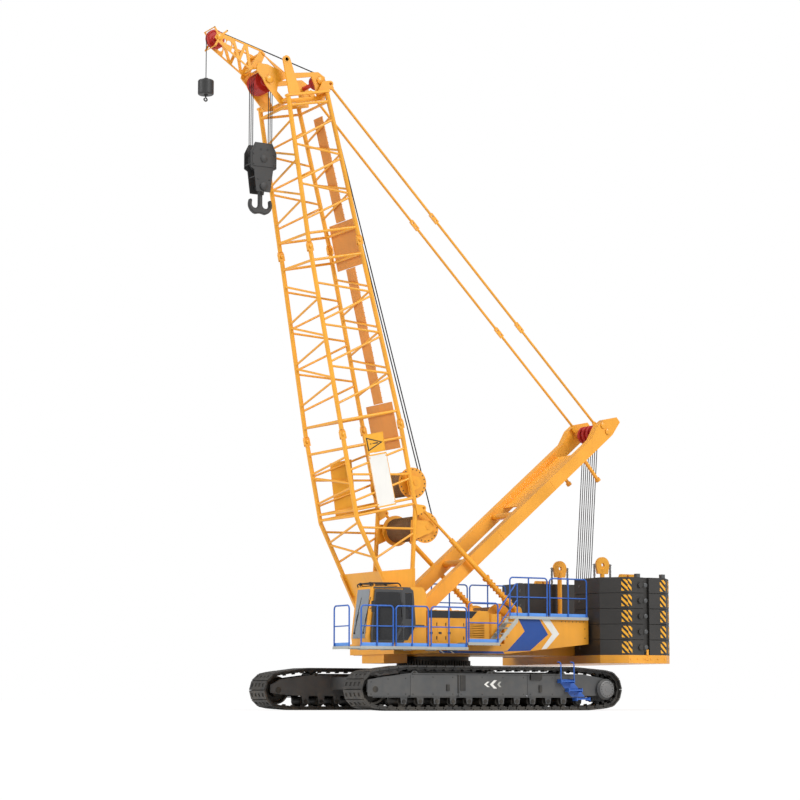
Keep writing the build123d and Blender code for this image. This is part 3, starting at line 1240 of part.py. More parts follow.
def tip_jib():
    """Two side plates cut out to a truss, with cross tubes and tie plates back to the head."""
    tip = JIB_TIP[:2]
    base, corner = JIB_BASE, JIB_CORNER
    outline = [base, (base[0] - 10, base[1] + 330), (tip[0] - 170, tip[1] + 60), (tip[0] + 10, tip[1] + 160),
               (tip[0] + 170, tip[1] + 20), (corner[0] + 110, corner[1] - 20),
               (corner[0] - 20, corner[1] - 130)]

    def edge(ends, share):
        (s0, n0), (s1, n1) = ends
        return s0 + (s1 - s0) * share, n0 + (n1 - n0) * share

    front, rear = outline[1:3], (outline[5], outline[4])
    middle = [edge((edge(front, share), edge(rear, share)), 0.5) for share in JIB_BARS]
    holes = [(*edge((edge(front, share), edge(rear, share)), 0.5), radius) for share, radius in JIB_HOLES]
    y = (JIB_Y, JIB_Y + JIB_PLATE)
    plate = boom_plate(outline, y, [(*tip, TIP_SHAFT + SEAT)] + holes)
    through = (y[0] - 1, y[1] + 1)
    cuts = []
    for a, b in zip(JIB_BARS, JIB_BARS[1:]):
        for other in (edge(rear, a), edge(front, b)):
            cuts.append(boom_plate(window(edge(front, a), edge(rear, b), other, JIB_BAR), through))
    plates = both([cut(plate, *cuts)])
    tubes = []
    for s, n in ((corner[0], corner[1] + 20), (base[0] + 60, base[1] + 190), middle[1]):
        x, z = boom_xz(s, n)
        tubes.append(cross_rod(x, z, JIB_TUBE, (-JIB_Y + SEAT, JIB_Y - SEAT)))
    tie_foot = (boom_xz(corner[0] - 40, corner[1] - 60), boom_xz(corner[0] + 50, corner[1] + 20))
    tie_y = (y[1] + SEAT, y[1] + SEAT + CHEEK)
    ties = both([lug(boom_xz(*JIB_TIE_END), 90, *tie_foot, tie_y, JIB_TUBE + SEAT)])
    x, z = boom_xz(base[0] + 20, base[1] + 60)
    feet = both([cross_rod(x, z, JIB_TUBE, (y[1] + SEAT, HEAD_CHEEK_Y[0] - SEAT))])
    return plates + tubes + ties + feet


def drum(centre):
    """Winch drum with flanges and hubs."""
    x, z = boom_xz(*centre)
    edge = DRUM_HALF
    reach = DRUM_BRACKET[1] + DRUM_SHAFT_OUT
    hub, thick = DRUM_HUB
    inside = edge - FLANGE_THICK
    half = [(0, reach), (DRUM_SHAFT, reach), (DRUM_SHAFT, edge + thick), (hub, edge + thick), (hub, edge)]
    half += [(DRUM_FLANGE, edge), (DRUM_FLANGE, inside), (DRUM_CORE, inside)]
    profile = half + [(r, -py) for r, py in reversed(half)]
    return [turned(profile, x, z)]


def rear_line(low, high, s):
    """Depth of a section's rear braces at a distance along the boom."""
    (s0, _, r0, _), (s1, _, r1, _) = low, high
    return r0 + (r1 - r0) * (s - s0) / (s1 - s0)


def boom_walkway():
    """Walkway on the boom's rear face, with a wider platform at each joint."""
    base = (station("frame"), station("joint_1", -JOINT_HALF))
    insert = (station("joint_1", JOINT_HALF), station("joint_2", -JOINT_HALF))
    head = (station("joint_2", JOINT_HALF), station("head"))
    lift = FRAME_BAR + SEAT
    pieces = []
    for low, high in (insert, head):
        a, b = low[0] + WALK_END, high[0] - WALK_END
        n0, n1 = rear_line(low, high, a) - BRACE - SEAT, rear_line(low, high, b) - BRACE - SEAT
        strip = [(a, n0), (b, n1), (b, n1 - WALK_THICK), (a, n0 - WALK_THICK)]
        pieces.append(boom_plate(strip, (-WALK_HALF, WALK_HALF)))
    for below, above in ((base, insert), (insert, head)):
        a, b = below[1][0] - PLATFORM_REACH, above[0][0] + PLATFORM_REACH
        bar = FRAME_BAR_INSET
        n0, n1 = rear_line(*below, below[1][0] - bar) - lift, rear_line(*above, above[0][0] + bar) - lift
        n = min(n0, n1)
        plate = [(a, n), (b, n), (b, n - WALK_THICK), (a, n - WALK_THICK)]
        pieces.append(boom_plate(plate, (-PLATFORM_HALF, PLATFORM_HALF)))
    return pieces


def signs():
    """Blank sign plates on the foot section's sides."""
    y = STATIONS["frame"][3] + FRAME_BAR + SEAT
    left = [boom_plate(SIGN_NEAR_LOW, (y, y + SIGN_THICK)), boom_plate(SIGN_NEAR_TOP, (y, y + SIGN_THICK))]
    right = [boom_plate(SIGN_FAR, (-y - SIGN_THICK, -y))]
    return [left[0]], [left[1]] + right


# Mast, stays and backstops

MAST_LENGTH = hypot(MAST_TOP[0] - MAST_FOOT[0], MAST_TOP[1] - MAST_FOOT[1])
MAST_ALONG = ((MAST_TOP[0] - MAST_FOOT[0]) / MAST_LENGTH, (MAST_TOP[1] - MAST_FOOT[1]) / MAST_LENGTH)
MAST_UP = (MAST_ALONG[1], -MAST_ALONG[0])


def mast_xz(t, m):
    x = MAST_FOOT[0] + t * MAST_ALONG[0] + m * MAST_UP[0]
    return x, MAST_FOOT[1] + t * MAST_ALONG[1] + m * MAST_UP[1]


def mast_beam():
    """Box beam with a tapered foot about its pin and a tip plate past the sheaves."""
    root = (mast_xz(MAST_TAPER, -MAST_HALF), mast_xz(MAST_TAPER, MAST_HALF))
    eye = lug(MAST_FOOT, MAST_EYE, *root, MAST_Y, MAST_PIN + SEAT)
    end = MAST_LENGTH + MAST_TIP
    ear = MAST_HALF + MAST_EAR
    outline = [(MAST_TAPER - 1, -MAST_HALF), (MAST_LENGTH + 80, -MAST_HALF), (end, -60), (end, 150)]
    outline += [(MAST_LENGTH + 160, ear), (MAST_LENGTH - 190, ear), (MAST_LENGTH - MAST_TAPER, MAST_HALF)]
    outline += [(MAST_TAPER - 1, MAST_HALF)]
    bores = [(*MAST_TOP, SHEAVE_SHAFT + SEAT), (*STAY_LOW, STAY_BORE + SEAT)]
    beam = side_plate([mast_xz(t, m) for t, m in outline], MAST_Y, bores)
    share, length, radius = MAST_PROP
    y = (MAST_Y[0] + MAST_Y[1]) / 2
    t = MAST_LENGTH * share
    a, b = mast_xz(t, -MAST_HALF + 60), mast_xz(t, -MAST_HALF - length)
    prop = rod((a[0], y, a[1]), (b[0], y, b[1]), radius)
    pad_a, pad_b = mast_xz(t, -MAST_HALF - length + 40), mast_xz(t, -MAST_HALF - length - 60)
    pad = rod((pad_a[0], y, pad_a[1]), (pad_b[0], y, pad_b[1]), radius * 1.5)
    return [join(beam, eye, prop, pad)]


def mast_cross():
    reach = MAST_Y[0] - SEAT
    pieces = []
    for share in MAST_CROSS[:2]:
        x, z = mast_xz(MAST_LENGTH * share, 0)
        pieces.append(cross_rod(x, z, MAST_TUBE, (-reach, reach)))
    t0, t1 = (MAST_LENGTH * share for share in MAST_PANEL)
    panel = [(t0, -MAST_SKIN), (t1, -MAST_SKIN), (t1, MAST_SKIN), (t0, MAST_SKIN)]
    pieces.append(side_plate([mast_xz(t, m) for t, m in panel], (-reach, reach)))
    return pieces


STAY_HIGH = boom_xz(*STAY_PIN)


def stay():
    """Stay bar in three lengths with link plates between, an eye at the mast and a plate at the boom."""
    y = (STAY_Y[0] + STAY_Y[1]) / 2
    (ax, az), (bx, bz) = STAY_LOW, STAY_HIGH
    length = hypot(bx - ax, bz - az)
    ux, uz = (bx - ax) / length, (bz - az) / length

    def at(t, m):
        return ax + ux * t - uz * m, az + uz * t + ux * m

    cuts = [0.0] + [length * share for share in STAY_LINKS] + [length]
    half = STAY_LINK[0]
    pieces = []
    for a, b in zip(cuts, cuts[1:]):
        p, q = at(a + half + SEAT, 0), at(b - half - SEAT, 0)
        pieces.append(rod((p[0], y, p[1]), (q[0], y, q[1]), STAY_RADIUS))
    for t in cuts[1:-1]:
        _, wide, thick, bore = STAY_LINK
        link = [(t - half, -wide), (t + half, -wide), (t + half, wide), (t - half, wide)]
        holes = [(*at(t + side * half / 2, 0), bore) for side in (-1, 1)]
        pieces.append(side_plate([at(*p) for p in link], (y - thick, y + thick), holes))
    low = lug(STAY_LOW, STAY_EYE, at(half, -STAY_NECK), at(half, STAY_NECK), STAY_Y, STAY_BORE + SEAT)
    pin = cross_rod(*STAY_LOW, STAY_BORE, (STAY_Y[0] - PIN_OUT / 2, MAST_Y[1] + PIN_OUT))
    neck = (at(length - half, STAY_NECK), at(length - half, -STAY_NECK))
    high = lug(STAY_HIGH, STAY_EYE, *neck, STAY_Y, STAY_BORE)
    return pieces + [low, pin, high]


STOP_HIGH = boom_xz(*STOP_LUG)
STOP_LENGTH = hypot(STOP_HIGH[0] - STOP_FOOT[0], STOP_HIGH[1] - STOP_FOOT[1])
STOP_DIR = ((STOP_HIGH[0] - STOP_FOOT[0]) / STOP_LENGTH, (STOP_HIGH[1] - STOP_FOOT[1]) / STOP_LENGTH)


def stop_point(t):
    return STOP_FOOT[0] + STOP_DIR[0] * t, STOP_Y, STOP_FOOT[1] + STOP_DIR[1] * t


def backstop_tube():
    """Hollow tube on an eye, with a coil spring round its lower part."""
    eye = cross_rod(*STOP_FOOT, STOP_EYE - 10, (STOP_Y - STOP_EYE + RUN, STOP_Y + STOP_EYE - RUN))
    body = rod(stop_point(60), stop_point(STOP_TUBE_LENGTH), STOP_TUBE)
    bore = rod(stop_point(400), stop_point(STOP_TUBE_LENGTH + 1), STOP_ROD + 2 * SEAT)
    hole = cross_rod(*STOP_FOOT, MAST_PIN - 10 + SEAT, (STOP_Y - STOP_EYE, STOP_Y + STOP_EYE))
    collars = []
    for t in (SPRING_SPAN[0] - COLLAR[1], SPRING_SPAN[1]):
        collars.append(rod(stop_point(t), stop_point(t + COLLAR[1]), COLLAR[0]))
    return [cut(join(eye, body, *collars), bore, hole)]


def backstop_spring():
    """Rings of the coil spring between the two collars."""
    bar, count = SPRING
    rings = []
    for t in spread(count, SPRING_SPAN[0] + bar + SEAT, SPRING_SPAN[1] - bar - SEAT):
        plane = Plane(stop_point(t), z_dir=(STOP_DIR[0], 0, STOP_DIR[1]))
        rings.append(Solid.make_torus(STOP_TUBE + bar + SEAT, bar, plane))
    return rings


def backstop_rod():
    body = rod(stop_point(STOP_ROD_START), stop_point(STOP_LENGTH - 60), STOP_ROD)
    eye = cross_rod(*STOP_HIGH, 90, (STOP_Y - CHORD + 12, STOP_Y + CHORD - 12))
    return [join(body, eye)]


# Luffing gear

def luff_winch():
    x, z, radius, half = WINCH
    core, inside, end = radius - WINCH_DEEP, half - FLANGE_THICK, half + WINCH_OUT
    profile = [(0, end), (WINCH_SHAFT, end), (WINCH_SHAFT, half), (radius, half)]
    profile += [(radius, inside), (core, inside)]
    profile += [(r, -py) for r, py in reversed(profile)]
    return [turned(profile, x, z)]


def winch_stand():
    x, z, radius, half = WINCH
    y = (half + RUN, half + RUN + BRACKET)
    foot_z = FLOOR_Z + FLOOR_THICK + SEAT
    foot = ((x - STAND[1], foot_z), (x + STAND[1], foot_z))
    return both([lug((x, z), STAND[0], *foot, y, WINCH_SHAFT + SEAT)])


LUFF_REACH = hypot(MAST_TOP[0] - LUFF_BLOCK[0], MAST_TOP[1] - LUFF_BLOCK[1])
LUFF_DIR = ((MAST_TOP[0] - LUFF_BLOCK[0]) / LUFF_REACH, (MAST_TOP[1] - LUFF_BLOCK[1]) / LUFF_REACH)


def luff_ropes(centre, way, start, first):
    """Ropes side by side from one block's wheels towards the other block."""
    ropes = []
    end = LUFF_REACH - LUFF_END_GAP
    for i in range(LUFF_ROPES):
        y = first + LUFF_STEP * i
        p = (centre[0] + LUFF_DIR[0] * start * way, y, centre[1] + LUFF_DIR[1] * start * way)
        q = (centre[0] + LUFF_DIR[0] * end * way, y, centre[1] + LUFF_DIR[1] * end * way)
        ropes.append(rod(p, q, LUFF_ROPE))
    return ropes


def luff_block():
    """Rope wheels of the lower luffing block on a shaft between the girders."""
    wheels = sheave_row(LUFF_BLOCK[:2], LUFF_BLOCK[2], LUFF_ROPES, LUFF_STEP, -LUFF_STEP / 4)
    return wheels + [shaft(LUFF_BLOCK[:2], SHEAVE_SHAFT, GIRDER_Y[0] - SEAT)]


# Hoists

GROOVE_HALF = atan2(SHEAVE_WIDTH / 4, SHEAVE_GROOVE)
ROPE_SIT = ROPE / sin(GROOVE_HALF) - SHEAVE_GROOVE + 2 * SEAT     # rope's centre past a wheel's rim
MAIN_PIN = boom_xz(*MAIN_SHEAVE[:2])
TIP_PIN = boom_xz(*JIB_TIP[:2])


def hoist_falls():
    """Rope falls from the head's wheels to the hook block's wheels."""
    x, z = MAIN_PIN
    out = MAIN_SHEAVE[2] + ROPE_SIT
    ropes = []
    for i in range(HOOK_SHEAVES):
        y = FALL_STEP * (i - (HOOK_SHEAVES - 1) / 2)
        for side in (1, -1):
            ropes.append(rod((x + side * out, y, z), (x + side * out, y, BLOCK_SHEAVE_Z), ROPE))
    return ropes


def hook_block():
    """Cheek plates about the rope wheels, with a cross head for the hook."""
    x = MAIN_PIN[0]
    high, low, wide, narrow = BLOCK_STEP
    half = [(BLOCK_CREST, BLOCK_TOP), (BLOCK_HALF, BLOCK_SHOULDER), (BLOCK_HALF, high), (wide, low)]
    half.append((narrow, BLOCK_LOW))
    side = [(x + dx, z) for dx, z in half] + [(x - dx, z) for dx, z in reversed(half)]
    outer = (BLOCK_Y - BLOCK_PLATE, BLOCK_Y)
    hole = [(x, BLOCK_SHEAVE_Z, SHEAVE_SHAFT + SEAT), (x, BLOCK_LOW + TRUNNION_UP, CROSS_HEAD + SEAT)]
    plates = both([side_plate(side, outer, hole)])
    head = shaft((x, BLOCK_LOW + TRUNNION_UP), CROSS_HEAD, BLOCK_Y + PIN_OUT)
    return plates + [head]


def hook_sheaves():
    centre = (MAIN_PIN[0], BLOCK_SHEAVE_Z)
    wheels = sheave_row(centre, MAIN_SHEAVE[2], HOOK_SHEAVES, FALL_STEP)
    return wheels + [shaft(centre, SHEAVE_SHAFT, BLOCK_Y + PIN_OUT)]


def hook():
    """Ramshorn hook: a shank that parts into two curled arms."""
    x, low = MAIN_PIN[0], HOOK_LOW
    top = BLOCK_LOW + TRUNNION_UP - CROSS_HEAD - SEAT
    y = -HOOK_BAR * 0.75

    def half(side):
        def at(dx, dz):
            return Vector(x + side * dx, y, low + dz)
        shank = Edge.make_line(Vector(x + side * 65, y, top), at(65, 320))
        throat = Edge.make_three_point_arc(at(65, 320), at(185, 200), at(305, 320))
        inside = Edge.make_line(at(305, 320), at(296, 430))
        point = Edge.make_three_point_arc(at(296, 430), at(341, 480), at(390, 430))
        outer = Edge.make_three_point_arc(at(390, 430), at(364, 150), at(190, 14))
        bottom = Spline(at(190, 14), at(0, 40), tangents=[(-side, 0, -0.15), (-side, 0, 0)]).edges()[0]
        return [shank, throat, inside, point, outer, bottom]

    cap = Edge.make_line(Vector(x - 65, y, top), Vector(x + 65, y, top))
    body = Solid.extrude(Face(Wire([cap] + half(1) + half(-1))), Vector(0, -2 * y, 0))
    rims = [e for e in body.edges() if abs(abs(e.center().Y) + y) < 1]
    return [body.chamfer(HOOK_BAR * 0.3, None, rims)]


def aux_fall():
    x, z = TIP_PIN
    return [rod((BALL_X, 0, z), (BALL_X, 0, BALL[0] + BALL[2] + BALL_NECK[0] + SEAT), ROPE)]


BALL_X = TIP_PIN[0] + JIB_TIP[2] + ROPE_SIT


def hook_ball():
    """Round weight with a socket above and a swivel below."""
    z, radius, half = BALL
    body = Solid.make_cylinder(radius, 2 * half, Plane((BALL_X, 0, z - half)))
    body = body.fillet(BALL_EDGE, body.edges().filter_by(GeomType.CIRCLE))
    neck = rod((BALL_X, 0, z), (BALL_X, 0, z + half + BALL_NECK[0]), BALL_NECK[1])
    tail = rod((BALL_X, 0, z), (BALL_X, 0, z - half - BALL_TAIL[0]), BALL_TAIL[1])
    return [join(body, neck, tail)]


def ball_hook():
    """Small hook bent from a round bar."""
    top = BALL[0] - BALL[2] - BALL_TAIL[0] - SEAT
    height, bar = BALL_HOOK
    points = [(BALL_X + u * height, 0, top + v * height) for u, v in HOOK_CURVE]
    path = Spline(*points, tangents=[(0, 0, -1), (-0.4, 0, 1)])
    return [tube_along(path, bar)]


# Nodes

for side_name, centre, side in (("left", TRACK_Y, 1), ("right", -TRACK_Y, -1)):
    save(f"track_{side_name}", [track(centre)])
    save(f"track_frame_{side_name}", [track_frame(centre)])
    save(f"rollers_{side_name}", rollers(centre) + [idler(centre)])
    save(f"final_drive_{side_name}", [final_drive(centre, side)])
save("access_steps", both(access_steps(TRACK_Y)))
save("carbody", [carbody()])
save("slew_ring", slew_ring())

save("upper_frame", upper_frame())
save("side_bodies", both(side_body()))
save("houses", both(house()) + tank())
save("engine_block", [block(ENGINE[0:2], (-ENGINE[2], -ENGINE[3]), (HOUSE_Z[0], ENGINE[5]))])
cab, panes, door = cab_pieces()
save("cab_shell", cab)
save("cab_glass", panes)
save("cab_door", door)
save("operator_seat", seat())
save("decks", decks_left() + decks_right() + stairs())
rails, boards = railings_left()
save("railings", rails + railings_right())
save("toe_boards", boards)
save("counterweight_tray", counterweight_tray())
save("counterweight_left", counterweight())
save("counterweight_right", mirrored(counterweight()))
save("counterweight_lifts", both(lift_post() + stack_fitting()))
save("lift_chains", both(lift_chains()))
save("luff_winch", luff_winch() + winch_stand())
save("luff_block", luff_block())

save("boom_base", boom_base() + stop_lugs())
save("boom_insert", boom_insert())
save("boom_head", boom_head())
save("head_lugs", head_lugs())
mains = sheave_row(MAIN_PIN, MAIN_SHEAVE[2], MAIN_SHEAVES, FALL_STEP)
save("head_sheaves", mains + [shaft(MAIN_PIN, SHEAVE_SHAFT, HEAD_CHEEK_Y[1] + PIN_OUT)])
guide_pin = boom_xz(*GUIDE_SHEAVE[:2])
guides = sheave_row(guide_pin, GUIDE_SHEAVE[2], GUIDE_SHEAVES, GUIDE_STEP, GUIDE_SHIFT)
save("guide_sheaves", guides + [shaft(guide_pin, SHEAVE_SHAFT, HEAD_CHEEK_Y[1] + PIN_OUT)])
save("tip_jib", tip_jib())
tip_wheel = sheave(*TIP_PIN, JIB_TIP[2], 0.0, bore=TIP_SHAFT)
save("tip_sheave", [tip_wheel, shaft(TIP_PIN, TIP_SHAFT, JIB_Y + JIB_PLATE + PIN_OUT)])
save("hoist_drum_1", drum(DRUM_1))
save("hoist_drum_2", drum(DRUM_2))
save("boom_walkway", boom_walkway())
white_sign, yellow_signs = signs()
save("sign_white", white_sign)
save("signs_yellow", yellow_signs)

save("mast_beams", both(mast_beam()))
save("mast_cross", mast_cross())
mast_wheels = sheave_row(MAST_TOP, MAST_SHEAVE, LUFF_ROPES, LUFF_STEP, LUFF_STEP / 4)
save("mast_sheaves", mast_wheels + [shaft(MAST_TOP, SHEAVE_SHAFT, MAST_Y[1] + PIN_OUT)])
save("stays", both(stay()))
save("backstop_tubes", both(backstop_tube()))
save("backstop_springs", both(backstop_spring()))
save("backstop_rods", both(backstop_rod()))
save("luff_ropes_lower", luff_ropes(LUFF_BLOCK, 1, LUFF_BLOCK[2] - LUFF_SINK, -LUFF_STEP * 1.75))
save("luff_ropes_upper", luff_ropes(MAST_TOP, -1, MAST_SHEAVE - LUFF_SINK, -LUFF_STEP * 1.25))

save("hoist_falls", hoist_falls())
save("hook_block", hook_block())
save("hook_sheaves", hook_sheaves())
save("hook", hook())
save("aux_fall", aux_fall())
save("hook_ball", hook_ball())
save("ball_hook", ball_hook())
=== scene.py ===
"""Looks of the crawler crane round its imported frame. Metres; X forward, Y left, Z up."""
from math import acos, atan2, cos, hypot, pi, radians, sin

import bpy
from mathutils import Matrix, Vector


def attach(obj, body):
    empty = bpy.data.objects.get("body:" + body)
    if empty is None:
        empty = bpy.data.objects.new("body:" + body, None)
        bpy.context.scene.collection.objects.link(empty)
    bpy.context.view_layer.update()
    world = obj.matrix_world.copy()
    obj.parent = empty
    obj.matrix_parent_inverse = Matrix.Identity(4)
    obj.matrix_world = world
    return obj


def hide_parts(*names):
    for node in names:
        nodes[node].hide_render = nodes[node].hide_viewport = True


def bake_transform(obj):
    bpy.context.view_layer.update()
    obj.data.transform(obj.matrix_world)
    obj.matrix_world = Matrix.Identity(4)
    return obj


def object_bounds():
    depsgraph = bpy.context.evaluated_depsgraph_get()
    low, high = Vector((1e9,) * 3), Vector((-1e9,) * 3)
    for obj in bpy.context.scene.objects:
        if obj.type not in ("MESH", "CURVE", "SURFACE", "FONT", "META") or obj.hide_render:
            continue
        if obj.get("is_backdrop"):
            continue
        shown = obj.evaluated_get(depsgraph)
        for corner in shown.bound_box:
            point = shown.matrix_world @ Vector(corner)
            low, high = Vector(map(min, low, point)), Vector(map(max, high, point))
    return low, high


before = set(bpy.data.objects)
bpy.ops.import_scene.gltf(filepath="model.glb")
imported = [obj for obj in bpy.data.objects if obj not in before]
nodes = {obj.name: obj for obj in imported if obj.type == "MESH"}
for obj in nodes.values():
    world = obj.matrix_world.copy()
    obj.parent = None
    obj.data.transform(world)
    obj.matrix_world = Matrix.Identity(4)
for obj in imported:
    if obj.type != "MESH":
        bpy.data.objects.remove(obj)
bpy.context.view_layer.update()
scene = bpy.context.scene
scene.view_settings.view_transform = "Standard"

X, Y, Z = Vector((1, 0, 0)), Vector((0, 1, 0)), Vector((0, 0, 1))


# Materials

def linear(r, g, b):
    """Colour given as 0 to 255 display values, in linear light."""
    parts = []
    for value in (r, g, b):
        c = value / 255
        parts.append(c / 12.92 if c <= 0.04045 else ((c + 0.055) / 1.055) ** 2.4)
    return parts


def shade(colour, factor):
    return [min(1.0, c * factor) for c in colour] + [1.0]


class Tree:
    """Short ways to add nodes to one material."""

    def __init__(self, name):
        self.material = bpy.data.materials.new(name)
        self.material.use_nodes = True
        self.nodes = self.material.node_tree.nodes
        self.links = self.material.node_tree.links
        self.shader = self.nodes["Principled BSDF"]
        self.place = self.nodes.new("ShaderNodeTexCoord").outputs["Object"]

    def feed(self, socket, item):
        """Link an output to a socket, or set the socket's value."""
        if hasattr(item, "is_output"):
            self.links.new(item, socket)
        else:
            socket.default_value = item

    def put(self, name, item):
        self.feed(self.shader.inputs[name], item)

    def node(self, kind, **inputs):
        node = self.nodes.new("ShaderNode" + kind)
        for name, item in inputs.items():
            self.feed(node.inputs[name], item)
        return node

    def noise(self, scale, detail=4.0, stretch=None):
        place = self.place
        if stretch:
            place = self.node("Mapping", Vector=place, Scale=stretch).outputs["Vector"]
        return self.node("TexNoise", Vector=place, Scale=scale, Detail=detail).outputs["Fac"]

    def span(self, value, low, high, to_low, to_high):
        node = self.node("MapRange")
        for socket, item in zip(node.inputs, (value, low, high, to_low, to_high)):
            self.feed(socket, item)
        return node.outputs[0]

    def mix(self, share, a, b):
        node = self.node("Mix")
        node.data_type = "RGBA"
        for i, item in ((0, share), (6, a), (7, b)):
            self.feed(node.inputs[i], item)
        return node.outputs[2]

    def times(self, a, b):
        node = self.node("Math")
        node.operation = "MULTIPLY"
        self.feed(node.inputs[0], a)
        self.feed(node.inputs[1], b)
        return node.outputs[0]

    def height(self):
        return self.node("SeparateXYZ", Vector=self.place).outputs["Z"]

    def bump(self, value, strength, distance):
        node = self.node("Bump", Height=value, Strength=strength, Distance=distance)
        self.put("Normal", node.outputs["Normal"])


DUST = shade(linear(150, 138, 118), 1.0)


def paint(name, colour, rough=0.42, vary=0.10, dust=0.12, metal=0.0, coat=0.0, grain=140.0, bump=0.04):
    """Painted or bare metal with cloudy tone, run marks, low dust and a fine skin."""
    tree = Tree(name)
    base = linear(*colour)
    cloud = tree.noise(0.9, 5.0)
    tone = tree.mix(tree.span(cloud, 0.32, 0.68, 0, 1), shade(base, 1 - vary), shade(base, 1 + vary * 0.5))
    runs = tree.span(tree.noise(1.4, 3.0, (5.0, 5.0, 0.3)), 0.52, 0.75, 0.0, 0.22)
    tone = tree.mix(runs, tone, shade(base, 0.72))
    specks = tree.span(tree.noise(38.0, 2.0), 0.68, 0.78, 0.0, 0.12)
    tone = tree.mix(specks, tone, shade(base, 0.6))
    if dust:
        low = tree.span(tree.height(), 0.0, 2.6, dust * 2.2, dust * 0.25)
        tone = tree.mix(tree.times(low, tree.span(tree.noise(3.2, 6.0), 0.35, 0.7, 0.15, 1.0)), tone, DUST)
    tree.put("Base Color", tone)
    tree.put("Roughness", tree.span(cloud, 0.3, 0.7, rough - 0.07, rough + 0.09))
    tree.put("Metallic", metal)
    tree.put("Coat Weight", coat)
    tree.put("Coat Roughness", 0.18)
    tree.bump(tree.noise(grain, 2.0), bump, 0.004)
    return tree.material


def rope_skin(name, colour):
    """Laid steel wire: slanting strands as bump and tone."""
    tree = Tree(name)
    base = linear(*colour)
    wave = tree.node("TexWave", Vector=tree.place, Scale=26.0, Distortion=0.6)
    wave.bands_direction = "DIAGONAL"
    strands = wave.outputs["Fac"]
    tone = tree.mix(strands, shade(base, 0.55), shade(base, 1.25))
    grease = tree.span(tree.noise(2.2), 0.4, 0.65, 0.0, 0.45)
    tree.put("Base Color", tree.mix(grease, tone, shade(base, 0.35)))
    tree.put("Roughness", tree.span(tree.noise(30.0), 0.3, 0.7, 0.38, 0.6))
    tree.put("Metallic", 0.3)
    tree.bump(strands, 0.5, 0.006)
    return tree.material


def pane(name, colour, through=0.55):
    """Tinted safety glass with a faint film of dust."""
    tree = Tree(name)
    base = linear(*colour)
    film = tree.span(tree.noise(2.6, 6.0), 0.4, 0.75, 0.0, 0.25)
    tree.put("Base Color", tree.mix(film, shade(base, 1.0), shade(base, 1.35)))
    tree.put("Roughness", tree.span(tree.noise(7.0, 5.0), 0.3, 0.7, 0.03, 0.10))
    tree.put("Transmission Weight", through)
    tree.put("IOR", 1.46)
    return tree.material


def cloth(name, colour):
    """Woven seat cover."""
    tree = Tree(name)
    base = linear(*colour)
    weave = tree.node("TexChecker", Vector=tree.place, Scale=260.0).outputs["Fac"]
    tone = tree.mix(weave, shade(base, 0.75), shade(base, 1.2))
    worn = tree.span(tree.noise(5.0, 5.0), 0.45, 0.7, 0.0, 0.4)
    tree.put("Base Color", tree.mix(worn, tone, shade(base, 1.7)))
    tree.put("Roughness", tree.span(tree.noise(60.0), 0.3, 0.7, 0.75, 0.95))
    tree.bump(weave, 0.35, 0.002)
    return tree.material


PAINTS = {
    "boom_yellow": dict(colour=(242, 168, 38), coat=0.25, dust=0.04),
    "mast_orange": dict(colour=(242, 165, 42), coat=0.25, dust=0.05),
    "body_yellow": dict(colour=(238, 162, 36), coat=0.3, dust=0.10),
    "sheave_red": dict(colour=(186, 34, 24), rough=0.46, dust=0.03),
    "rail_blue": dict(colour=(34, 96, 186), coat=0.2, dust=0.05),
    "toe_blue": dict(colour=(92, 152, 232), dust=0.06),
    "fascia_blue": dict(colour=(2, 68, 150), coat=0.3, dust=0.05),
    "fascia_white": dict(colour=(232, 230, 224), vary=0.05, dust=0.06),
    "deck_grey": dict(colour=(176, 178, 172), rough=0.55, dust=0.16, bump=0.2),
    "weight_grey": dict(colour=(46, 44, 42), rough=0.5, vary=0.14, dust=0.03, bump=0.3, grain=70.0),
    "track_steel": dict(colour=(25, 25, 26), rough=0.5, vary=0.25, dust=0.10, metal=0.3, bump=0.35, grain=60.0),
    "frame_grey": dict(colour=(74, 75, 76), rough=0.46, vary=0.1, dust=0.06),
    "hook_grey": dict(colour=(58, 58, 58), rough=0.5, vary=0.12, dust=0.05, metal=0.2),
    "cab_dark": dict(colour=(60, 61, 63), rough=0.4, coat=0.3, dust=0.06),
    "sign_white": dict(colour=(236, 234, 228), vary=0.04, dust=0.04),
    "sign_yellow": dict(colour=(240, 172, 38), vary=0.05, dust=0.04),
    "ring_dark": dict(colour=(44, 43, 42), rough=0.45, metal=0.6, dust=0.15),
    "engine_grey": dict(colour=(96, 98, 98), rough=0.5, metal=0.5, vary=0.2),
    "walk_brown": dict(colour=(222, 146, 62), rough=0.55, dust=0.06),
    "steel": dict(colour=(150, 150, 150), rough=0.34, metal=0.85, vary=0.15, dust=0.04),
    "black": dict(colour=(26, 26, 27), rough=0.5, dust=0.08),
    "pane_dark": dict(colour=(36, 36, 38), rough=0.14, vary=0.05, dust=0.02, coat=0.5, bump=0.0),
    "hub_grey": dict(colour=(112, 112, 112), rough=0.42, vary=0.08, dust=0.05, metal=0.2),
    "shoe_steel": dict(colour=(50, 50, 51), rough=0.48, vary=0.25, dust=0.10, metal=0.3, bump=0.3, grain=60.0),
}
M = {name: paint(name, **look) for name, look in PAINTS.items()}
for name, colour in (("rope", (40, 40, 42)), ("drum_rope", (134, 98, 60)), ("hoist_rope", (18, 18, 19))):
    M[name] = rope_skin(name, colour)
M["glass"] = pane("glass", (58, 64, 70))
M["front_glass"] = pane("front_glass", (158, 163, 168), 0.30)
M["seat_black"] = cloth("seat_black", (38, 38, 42))

